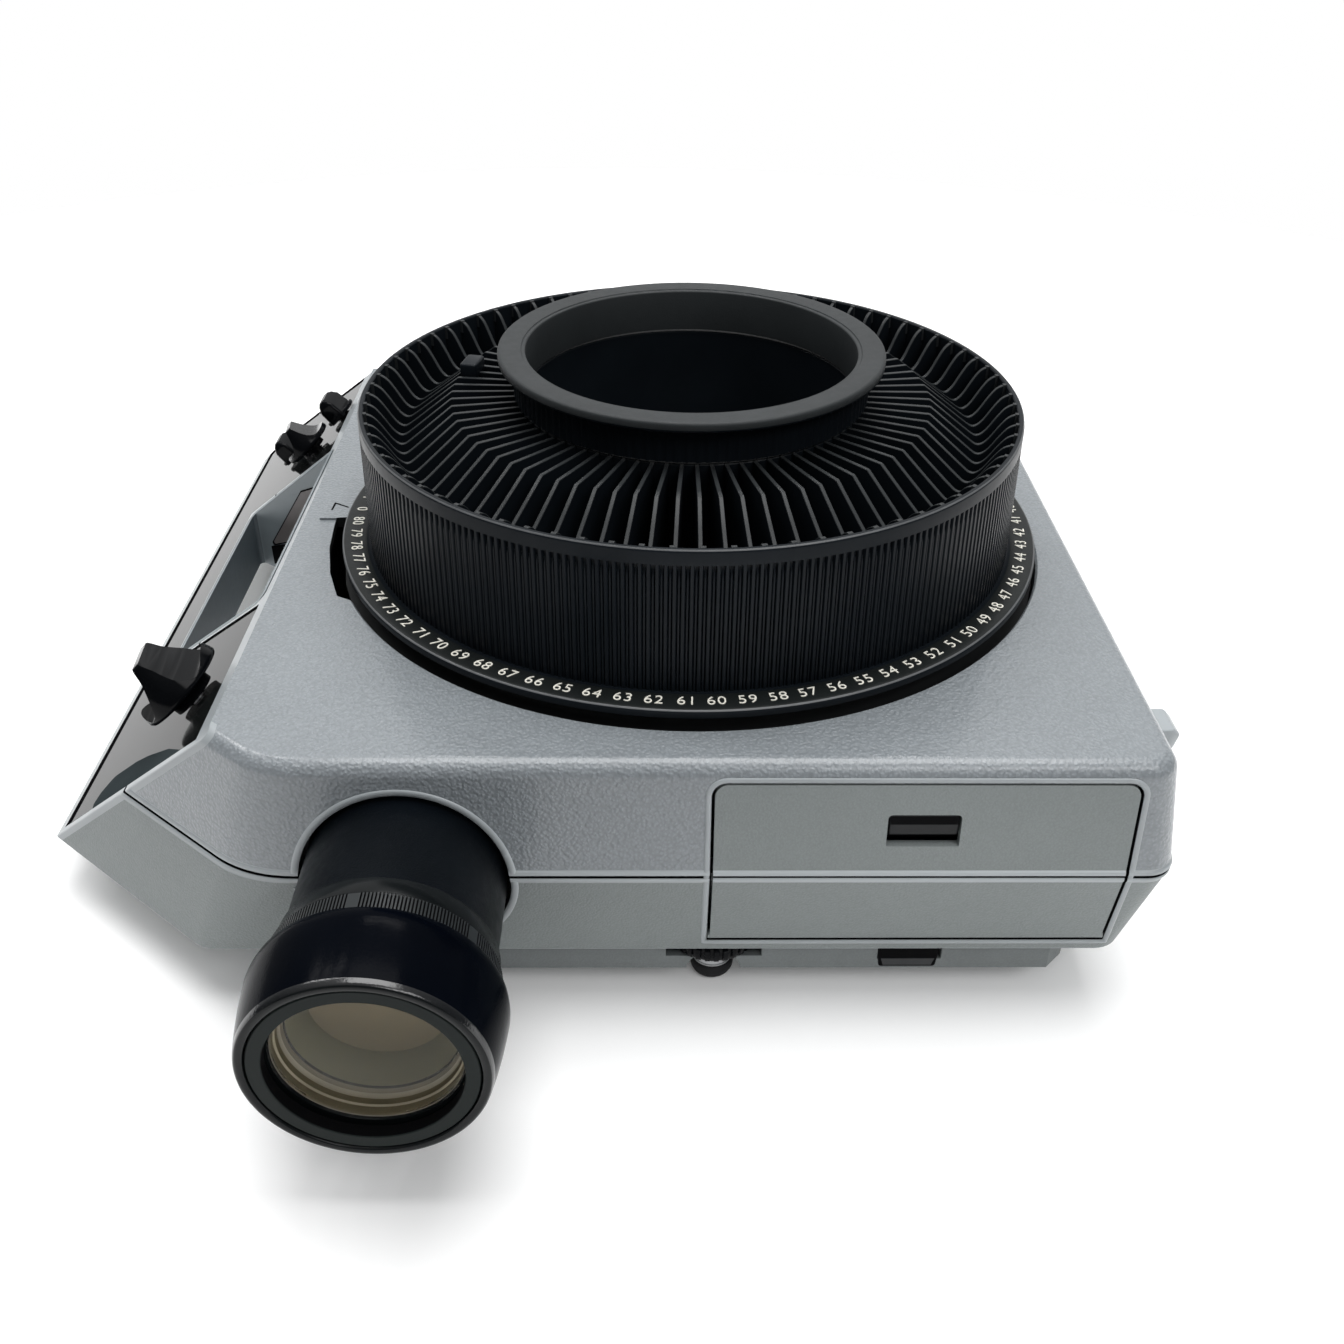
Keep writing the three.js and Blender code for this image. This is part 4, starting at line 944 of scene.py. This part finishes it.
# one small block inside the rim at each slot wall
pv, pf = [], []
for i in range(81):
    a = rad(179.42 - (i + 0.5) * 360 / 81)
    u = np.array([math.cos(a), math.sin(a), 0]); v = np.array([-math.sin(a), math.cos(a), 0])
    n0 = len(pv)
    for (r, w, z) in [(108.4, 0.95, 143), (108.4, -0.95, 143), (109.7, -0.95, 143), (109.7, 0.95, 143),
                      (108.55, 0.8, 147.5), (108.55, -0.8, 147.5), (109.7, -0.8, 147.5), (109.7, 0.8, 147.5)]:
        pv.append(u * r + v * w + np.array([0, 0, z]))
    for q in [(3, 2, 1, 0), (4, 5, 6, 7), (0, 1, 5, 4), (1, 2, 6, 5), (2, 3, 7, 6), (3, 0, 4, 7)]:
        pf.append([n0 + k for k in q])
# the blocks take the lighter painted-highlight material
tabs = outward(new_obj("tabs", pv, pf, (M["tray_fin"],)))
dr = joined("tray_drum_fine", [dr, tabs])
shade(dr, 38, False)
done(dr, "tray", "tray_black", "tray_drum")


def finger_top():
    """Top line of a slot wall in (r, z): a flat by the hub, then an S down to the slides and up to the rim."""
    out = [np.array(p, float) for p in ((58.3, 148.0), (70, 148.0), (80.4, 148.0), (80.9, 147.85))]
    pts = [(80.9, 147.85), (88.6, 142.0), (94.6, 137.5), (97.2, 135.9), (99.0, 136.2), (101.0, 138.2), (103.5, 142.2), (105.8, 145.4), (107.6, 146.8), (109.2, 147.3)]
    P = [np.array(p, float) for p in pts]
    for i in range(1, len(P) - 1):
        a0, a1, a2, a3 = P[i - 1], P[i], P[i + 1], P[min(i + 2, len(P) - 1)]
        n = 3
        for k in range(n):
            t = k / n
            out.append(0.5 * ((2 * a1) + (-a0 + a2) * t + (2 * a0 - 5 * a1 + 4 * a2 - a3) * t * t + (-a0 + 3 * a1 - 3 * a2 + a3) * t ** 3))
    out.append(P[-1])
    return out


top = finger_top()
cross = [(-0.65, -60), (-0.65, -0.16), (-0.52, 0.0), (0.52, 0.0), (0.65, -0.16), (0.65, -60)]
fv, ff, ffm = [], [], []
for i in range(81):
    a = rad(179.42 - (i + 0.5) * 360 / 81)
    u = np.array([math.cos(a), math.sin(a), 0]); v = np.array([-math.sin(a), math.cos(a), 0])
    n0 = len(fv)
    for j, p in enumerate(top):
        q = top[min(j + 1, len(top) - 1)] - top[max(j - 1, 0)]
        q = q / np.linalg.norm(q)
        nrm = np.array([-q[1], q[0]])
        for (w, dd) in cross:
            if dd < -50:
                r_, z_ = p[0], 97.0
            else:
                r_, z_ = p[0] + nrm[0] * dd, p[1] + nrm[1] * dd
            fv.append(u * r_ + v * w + np.array([0, 0, z_]))
    m_ = len(cross)
    for j in range(len(top) - 1):
        for k in range(m_ - 1):
            ff.append([n0 + j * m_ + k, n0 + j * m_ + k + 1, n0 + (j + 1) * m_ + k + 1, n0 + (j + 1) * m_ + k])
            # the tops of the slot walls take the lighter material, a painted highlight
            ffm.append(1 if 1 <= k <= m_ - 3 else 0)
        ff.append([n0 + j * m_ + m_ - 1, n0 + j * m_, n0 + (j + 1) * m_, n0 + (j + 1) * m_ + m_ - 1])
        ffm.append(0)
    ff.append([n0 + k for k in range(m_)])
    ffm += [0, 0]
    e = n0 + (len(top) - 1) * m_
    ff.append([e + k for k in range(m_)][::-1])
fing = outward(new_obj("fingers", fv, ff, (M["tray"], M["tray_fin"]), ffm))
hubwall = revolve("hubwall", [(55.9, 97), (58.6, 97), (58.6, 147.6), (58.2, 148.1), (56.3, 148.1), (55.9, 147.7)], 162, mats=(M["tray"],))
a = rad(168)
blk_f = ident((77.5 * math.cos(a), 77.5 * math.sin(a), 0), (math.cos(a), math.sin(a), 0), (-math.sin(a), math.cos(a), 0))
blk = prism("blk", rounded([(-3, -5), (3, -5), (3, 5), (-3, 5)], 1.0, 3), 146.6, 152, blk_f, (M["tray"],))
bevel(blk, 0.7, 3, 60)
div = joined("tray_dividers_fine", [fing, hubwall, blk])
shade(div, 38, False)
done(div, "tray", "tray_black", "tray_dividers")

# ---- numbers 0 to 80
def number_mesh(txt, size):
    cu = bpy.data.curves.new("num", "FONT")
    cu.body = txt
    cu.size = size
    cu.extrude = 0.11
    cu.offset = -0.028
    cu.resolution_u = 5
    cu.align_x = "CENTER"
    cu.align_y = "CENTER"
    cu.space_character = 1.12
    ob = bpy.data.objects.new("num", cu)
    COL.objects.link(ob)
    dg = bpy.context.evaluated_depsgraph_get()
    me = bpy.data.meshes.new_from_object(ob.evaluated_get(dg))
    co = np.zeros(len(me.vertices) * 3)
    me.vertices.foreach_get("co", co)
    co = co.reshape(-1, 3)
    faces = [tuple(p.vertices) for p in me.polygons]
    bpy.data.objects.remove(ob)
    bpy.data.curves.remove(cu)
    bpy.data.meshes.remove(me)
    mid = (co.min(0) + co.max(0)) / 2
    co = co - np.array([mid[0], mid[1], co[:, 2].min()])
    return co, faces


nv, nf = [], []
for k in range(81):
    co, faces = number_mesh(str(k), 5.6)
    th = rad(179.42 - k * 360 / 81)
    u = np.array([math.cos(th), math.sin(th), 0])      # outward
    X = np.array([-math.sin(th), math.cos(th), 0])     # reading direction, with the tops towards the drum
    Y = -u
    n0 = len(nv)
    for c in co:
        nv.append(u * 117.0 + X * c[0] + Y * c[1] + np.array([0, 0, 101.38 + c[2]]))
    nf += [[n0 + i for i in f] for f in faces]
nums = new_obj("tray_numbers", nv, nf, (M["digit"],))
shade(nums, 35, False)
done(nums, "tray", "tray_black")

# ---- lock ring
prof = [(55.24, 149.1), (59.5, 149.1), (59.5, 159.2), (60.3, 160.2), (63.9, 160.7), (64.45, 161.1), (64.55, 161.6), (64.55, 163.0), (64.35, 163.55), (63.9, 163.9), (63.3, 164.0),
        (57.1, 164.0), (56.75, 163.9), (56.6, 163.6), (56.3, 163.5), (55.7, 163.6), (55.4, 163.4), (55.24, 163.0)]
knurl = lambda th, k: (0.28 * (np.sin(th * 120) > 0) if 1 <= k <= 2 else 0.0)
lock = revolve("tray_lock_ring_fine", prof, 720, mats=(M["tray"], M["tray_grain"]), rows_mat=[0, 0, 0, 0, 0, 0, 1, 1, 1, 1, 1, 1, 1, 1, 1, 1, 1, 1], dr=knurl)
shade(lock, 45, False)
done(lock, "lock_ring", "tray_black", "tray_lock_ring")

# ============================================================ lens
AY = axis_y(LX, LZ)


def lens_ring(name, prof, seg, mats, body, nodes, rows_mat=None, dr=None, slot="lens_black", angle=40):
    o = revolve(name, prof, seg, AY, mats, rows_mat, dr)
    shade(o, angle, False)
    return done(o, body, slot, *nodes)


rb = revolve("lens_rear_barrel_fine", [(27, -179), (30.3, -179), (30.5, -178.8), (30.5, -173.3), (30.3, -173.05), (29.5, -172.9), (29.3, -172.6), (29.3, -62.4), (28.9, -62), (27, -62)],
             192, AY, (M["lens"], M["lens_smooth"]), [1, 1, 1, 1, 1, 0, 0, 0, 0, 0])
rack_f = ident((LX, 0, LZ), (-0.7184, 0, -0.6956), (0, 1, 0), (0.6956, 0, -0.7184))
rack = box("rack", 28, -108, -3, 33.3, -54, 3, rack_f, (M["lens_smooth"],))
teeth = []
rb = joined("lens_rear_barrel_fine", [rb, rack])
shade(rb, 40, False)
done(rb, "lens", "lens_black", "lens_rear_barrel")

seg = 1248
KN = 208


def knurl_z(th, k):
    if not 2 <= k <= 5:
        return 0.0
    deg = np.degrees(th) % 360
    gap = np.abs(((deg - 97.0) + 30) % 60 - 30) < 2.6
    wave = 0.5 + 0.5 * np.sign(np.sin(th * KN) - 0.1)
    return np.where(gap, 0.0, -0.55 * wave)


# the knurled band takes the lighter rib material as a painted highlight
lens_ring("zoom_ring_fine", [(27.4, -187), (31.2, -187), (31.7, -186.6), (31.7, -186.3), (31.7, -180.2), (31.7, -179.9), (31.2, -179.4), (27.4, -179.4)], seg,
          (M["lens_smooth"], M["zoom_rib"]), "zoom", ["zoom_ring"], rows_mat=[0, 0, 0, 1, 0, 0, 0, 0], dr=knurl_z, angle=30)
zr = bpy.data.objects["zoom_ring_fine"]
zr.data.materials.append(M["gap"])
for p in zr.data.polygons:          # painted shade: the bottoms of the knurl grooves take the black gap material
    if p.material_index == 1 and math.hypot(p.center.x * 1000 - OX - LX, p.center.z * 1000 - LZ) < 31.5:
        p.material_index = 2
lens_ring("lens_front_barrel_fine", [(27.4, -187.3), (33.4, -187.3), (33.8, -187.5), (34.1, -188.2), (34.5, -190.0), (34.6, -191.5), (34.35, -195), (33.9, -200), (33.2, -205.2), (32.45, -209.6), (32.15, -210.8), (31.8, -211.4), (31.3, -211.68), (30.9, -211.7),
           (30.0, -211.65), (29.7, -211.45), (29.5, -211.1), (29.5, -206.6), (29.3, -206.4), (27.4, -206.4)], 256,
          (M["lens_front"], M["lens_smooth"], M["lens_edge"]), "zoom", ["lens_front_barrel"], rows_mat=[0] * 9 + [2] * 2 + [1] * 9)
# its inner wall takes the shadow-gap black: painted shade in the recess before the glass
lens_ring("lens_retaining_ring_fine", [(25.2, -210.9), (25.45, -211.15), (28.9, -211.2), (29.15, -210.95), (29.2, -206.8), (28.2, -206.8), (25.6, -207.4), (25.2, -207.6)], 192,
          (M["label_ring"], M["gap"]), "zoom", ["lens_retaining_ring"], rows_mat=[0, 0, 0, 0, 0, 0, 0, 1])
# the cell's steps alternate painted-reflection and painted-highlight rings, and its cone takes the olive painted
# reflection
lens_ring("lens_cell_fine", [(24.9, -206), (27.1, -206), (27.1, -187), (18.9, -187), (19.0, -188.2), (22.4, -196.8), (22.75, -197.4), (23.2, -198.6), (23.6, -200.0), (23.8, -201.6), (24.3, -202.0), (24.6, -205.2)], 192,
          (M["lens_smooth"], M["lens_step"], M["lens_step_light"], M["lens_olive"]), "zoom", ["lens_cell"], rows_mat=[0, 0, 0, 3, 3, 0, 1, 2, 1, 2, 1, 0])
# the inner group's disc carries a painted reflection
lens_ring("lens_inner_group_fine", [(0, -189.4), (8, -189.2), (14, -188.8), (18.95, -188.3), (18.95, -187.2), (0, -187.2)], 160, (M["lens_back"],), "zoom", [], slot="lens_black", angle=60)
sp = []
for k in range(13):
    r = 24.35 * k / 12
    sp.append((r, -206.1 + (r / 24.35) ** 2 * 1.1))
for k in range(13):
    r = 24.35 * (1 - k / 12)
    sp.append((r, -205.0 + (r / 24.35) ** 2 * 1.0))
lens_ring("front_lens_element_fine", sp, 160, (M["glass"],), "zoom", ["front_lens_element"], slot="lens_glass", angle=60)
sp = [(0, -70)] + [(26.6 * k / 8, -70 + (k / 8) ** 2 * 3.6) for k in range(1, 9)] + [(26.6, -63.5)] + [(26.6 * (1 - k / 8), -63.5 + (1 - (1 - k / 8) ** 2) * 3.5) for k in range(1, 9)]
lens_ring("rear_lens_element_fine", sp, 96, (M["glass"],), "lens", ["rear_lens_element"], slot="lens_glass", angle=60)

# ============================================================ elevation foot
wheel_f = ident((FX, FY, 0))
wv = revolve("elevation_wheel_fine", [(4.15, 15.8), (13.0, 15.8), (13.8, 16.2), (14.1, 16.8), (14.1, 19.8), (13.8, 20.4), (13.0, 20.8), (4.15, 20.8)], 360, wheel_f, (M["knob"],),
             dr=lambda th, k: (-0.7 * (np.sin(th * 30) > 0.25) if 2 <= k <= 5 else 0.0))
shade(wv, 35, False)
done(wv, "foot_wheel", "knob_black", "elevation_wheel")
ft = revolve("elevation_foot_fine", [(0, 0), (4.2, 0), (5.2, 0.3), (6.3, 1.3), (6.85, 2.5), (7.0, 3.6), (6.85, 5.0), (6.5, 5.8), (6.0, 6.0), (0, 6.0)], 64, wheel_f, (M["rubber"],))
shade(ft, 45, False)
done(ft, "foot", "rubber", "elevation_foot")

# painted shade: black sheets inside the two slots in the pan and in the latch window, with a lighter sill strip at
# the slot's bottom as painted light
pr = prism("pan_slot_painted_shade", rounded([(58.6, 10.9), (76.4, 10.9), (77.4, 21.1), (57.6, 21.1)], [1, 1, 0.2, 0.2], 3), 134.0, 134.08, ALONG_Y, (M["gap"],))
sill = prism("sill", [(60.0, 11.4), (75.2, 11.4), (76.0, 14.2), (59.2, 14.2)], 134.08, 134.11, ALONG_Y, (M["inner_light"],))
pr = joined("pan_slot_painted_shade", [pr, sill])
shade(pr, 30, False)
done(pr, "root", "inner_black")
fr = revolve("foot_ring", [(4.4, 6.05), (6.1, 6.05), (6.35, 6.2), (6.35, 6.6), (6.1, 6.75), (4.4, 6.75)], 72, ident((FX, FY, 0)), (M["steel"],))
shade(fr, 35, False)
done(fr, "foot", "steel")
pr = box("latch_window_painted_shade", 54.7, -141.52, 75.9, 74.3, -141.42, 78.8, mats=(M["gap"],))
shade(pr, 30, False)
done(pr, "latch", "inner_black")

# ============================================================ refined CAD pieces
REFINE = [
    # node, body, material, slot, bevel mm, segments
    ("base_pan", "root", "pan", "case_grey", 0.6, 3),
    ("side_lug", "root", "case_smooth", "case_grey", 0.8, 3),
    ("rear_foot_left", "root", "rubber", "rubber", 0.5, 2),
    ("rear_foot_right", "root", "rubber", "rubber", 0.5, 2),
    ("case_screw_front_left", "root", "steel", "steel", 0.15, 2),
    ("case_screw_front_right", "root", "steel", "steel", 0.15, 2),
    ("case_screw_rear_left", "root", "steel", "steel", 0.15, 2),
    ("case_screw_rear_right", "root", "steel", "steel", 0.15, 2),
    ("door_latch", "latch", "inner", "knob_black", 0.5, 3),
    ("storage_bin", "root", "bin", "inner_black", 0.5, 2),
    ("exhaust_grille", "root", "case_smooth", "case_grey", 0.5, 2),
    ("power_inlet", "root", "knob", "knob_black", 0.4, 2),
    ("remote_socket", "root", "knob", "knob_black", 0.3, 2),
    ("hub_post", "root", "tray", "tray_black", 0.8, 3),
    ("hub_screw", "root", "steel", "steel", 0.2, 2),
    ("tray_deck", "root", "inner", "inner_black", 0.3, 2),
    ("lamp_house", "root", "alu", "aluminium", 0.3, 2),
    ("lamp_socket", "root", "ceramic", "inner_black", 0.4, 2),
    ("transformer_core", "root", "steel", "steel", 0.3, 2),
    ("transformer_coil", "root", "copper", "copper", 0.8, 3),
]
for node, body, mat_, slot_, w, seg_ in REFINE:
    o = copy_cad(node)
    o.data.materials.append(M[mat_])
    bevel(o, w, seg_, 32)
    shade(o, 32)
    done(o, body, slot_, node)

KEEP = {
    "door_hinge_pin": "steel", "tray_base_plate": "alu", "drive_gear": "brass", "drive_motor": "steel",
    "gate_front_plate": "alu", "gate_rear_plate": "alu", "lift_lever": "steel", "condenser_front": "glass_clear",
    "heat_glass": "glass_clear", "condenser_rear": "glass_clear", "lamp": "glass_clear", "lamp_reflector": "alu",
    "fan_wheel": "inner", "fan_motor": "steel", "circuit_board": "board", "lens_carrier": "inner",
    "focus_shaft": "steel", "focus_pinion": "brass", "elevation_screw": "steel",
}
for node, mat_ in KEEP.items():
    o = NODES[node]
    o.data.materials.clear()
    o.data.materials.append(M[mat_])

# ============================================================ stage, light, camera
bm = bmesh.new()
bmesh.ops.create_circle(bm, cap_ends=True, segments=96, radius=0.9)
me = bpy.data.meshes.new("floor")
bm.to_mesh(me); bm.free()
floor = bpy.data.objects.new("floor", me)
COL.objects.link(floor)
fm_ = make_mat("floor_white", (0.93, 0.93, 0.93, 1), 0.9, spec=0.0, tint=0.004, tint_scale=3, layers=())
for nd in fm_.node_tree.nodes:
    if nd.type == "BSDF_PRINCIPLED":
        nd.inputs["Emission Color"].default_value = (1, 1, 1, 1)
        nd.inputs["Emission Strength"].default_value = 0.08
me.materials.append(fm_)

world = bpy.data.worlds.new("studio")
SCENE.world = world
world.use_nodes = True
nt = world.node_tree
nt.nodes.clear()
wo = nt.nodes.new("ShaderNodeOutputWorld")
bg1 = nt.nodes.new("ShaderNodeBackground")
bg2 = nt.nodes.new("ShaderNodeBackground")
mixs = nt.nodes.new("ShaderNodeMixShader")
lp = nt.nodes.new("ShaderNodeLightPath")
tcw = nt.nodes.new("ShaderNodeTexCoord")
sep = nt.nodes.new("ShaderNodeSeparateXYZ")
rampw = nt.nodes.new("ShaderNodeValToRGB")
nt.links.new(tcw.outputs["Generated"], sep.inputs[0])
nt.links.new(sep.outputs["Z"], rampw.inputs["Fac"])
e = rampw.color_ramp.elements
e[0].position = 0.0; e[0].color = (0.13, 0.134, 0.138, 1)
e[1].position = 1.0; e[1].color = (1.0, 1.0, 1.0, 1)
k = rampw.color_ramp.elements.new(0.35); k.color = (0.20, 0.204, 0.208, 1)
k = rampw.color_ramp.elements.new(0.68); k.color = (0.50, 0.505, 0.51, 1)
mrw = nt.nodes.new("ShaderNodeMapRange")
mrw.inputs["From Min"].default_value = 0.15
mrw.inputs["From Max"].default_value = 0.80
mrw.inputs["To Min"].default_value = 0.0
mrw.inputs["To Max"].default_value = 0.75
nt.links.new(sep.outputs["Y"], mrw.inputs["Value"])
addw = nt.nodes.new("ShaderNodeVectorMath")
addw.operation = "ADD"
nt.links.new(rampw.outputs["Color"], addw.inputs[0])
nt.links.new(mrw.outputs["Result"], addw.inputs[1])
nt.links.new(addw.outputs[0], bg1.inputs["Color"])
bg1.inputs["Strength"].default_value = 0.80
bg2.inputs["Color"].default_value = (1, 1, 1, 1)
bg2.inputs["Strength"].default_value = 1.0
nt.links.new(lp.outputs["Is Camera Ray"], mixs.inputs[0])
nt.links.new(bg1.outputs[0], mixs.inputs[1])
nt.links.new(bg2.outputs[0], mixs.inputs[2])
nt.links.new(mixs.outputs[0], wo.inputs[0])


def area(name, loc, target, size, power, color=(1, 1, 1)):
    ld = bpy.data.lights.new(name, "AREA")
    ld.shape = "RECTANGLE"
    ld.size, ld.size_y = size
    ld.energy = power
    ld.color = color
    o = bpy.data.objects.new(name, ld)
    COL.objects.link(o)
    o.location = loc
    d = Vector(target) - Vector(loc)
    o.rotation_euler = d.to_track_quat("-Z", "Y").to_euler()
    return o


area("overhead", (0.14, 0.06, 1.75), (0.14, 0.06, 0), (1.2, 1.05), 23.5, (1.0, 1.0, 1.0))
for i, p in enumerate(((-1.25, 0.52, 1.45), (-1.00, 0.46, 1.61), (-0.72, 0.50, 1.72))):
    area(f"left_{i}", p, (-0.08, -0.12, 0.09), (0.32, 0.12), 2.0, (1.0, 1.0, 1.0))
area("rear_strip", (0.1, 1.30, 1.80), (0, 0, 0.08), (1.0, 0.12), 6.5, (1.0, 1.0, 1.0))
area("front_top", (0.80, -1.12, 1.40), (0, 0, 0.05), (1.2, 0.5), 9.5, (1.0, 1.0, 1.0))

cam_d = bpy.data.cameras.new("camera")
cam = bpy.data.objects.new("camera", cam_d)
COL.objects.link(cam)
cam_d.sensor_width = 36.0
cam_d.lens = 35.84
cam_d.clip_start, cam_d.clip_end = 0.02, 40.0
cam_d.dof.use_dof = False
rx, ry, rz = -0.5989, -0.01222, -0.0182
cx, sx, cy, sy, cz, sz = math.cos(rx), math.sin(rx), math.cos(ry), math.sin(ry), math.cos(rz), math.sin(rz)
Rz = np.array([[cz, -sz, 0], [sz, cz, 0], [0, 0, 1]])
Rx = np.array([[1, 0, 0], [0, cx, -sx], [0, sx, cx]])
Ry = np.array([[cy, 0, sy], [0, 1, 0], [-sy, 0, cy]])
R = Rz @ Rx @ Ry
mw = Matrix(((R[0, 0], R[0, 2], -R[0, 1], 0.02073), (R[1, 0], R[1, 2], -R[1, 1], -0.43051), (R[2, 0], R[2, 2], -R[2, 1], 0.32523), (0, 0, 0, 1)))
cam.matrix_world = mw
SCENE.camera = cam
SCENE.view_settings.view_transform = "Standard"
SCENE.view_settings.look = "None"
SCENE.view_settings.exposure = 0.0
SCENE.view_settings.gamma = 1.0

bpy.context.view_layer.update()
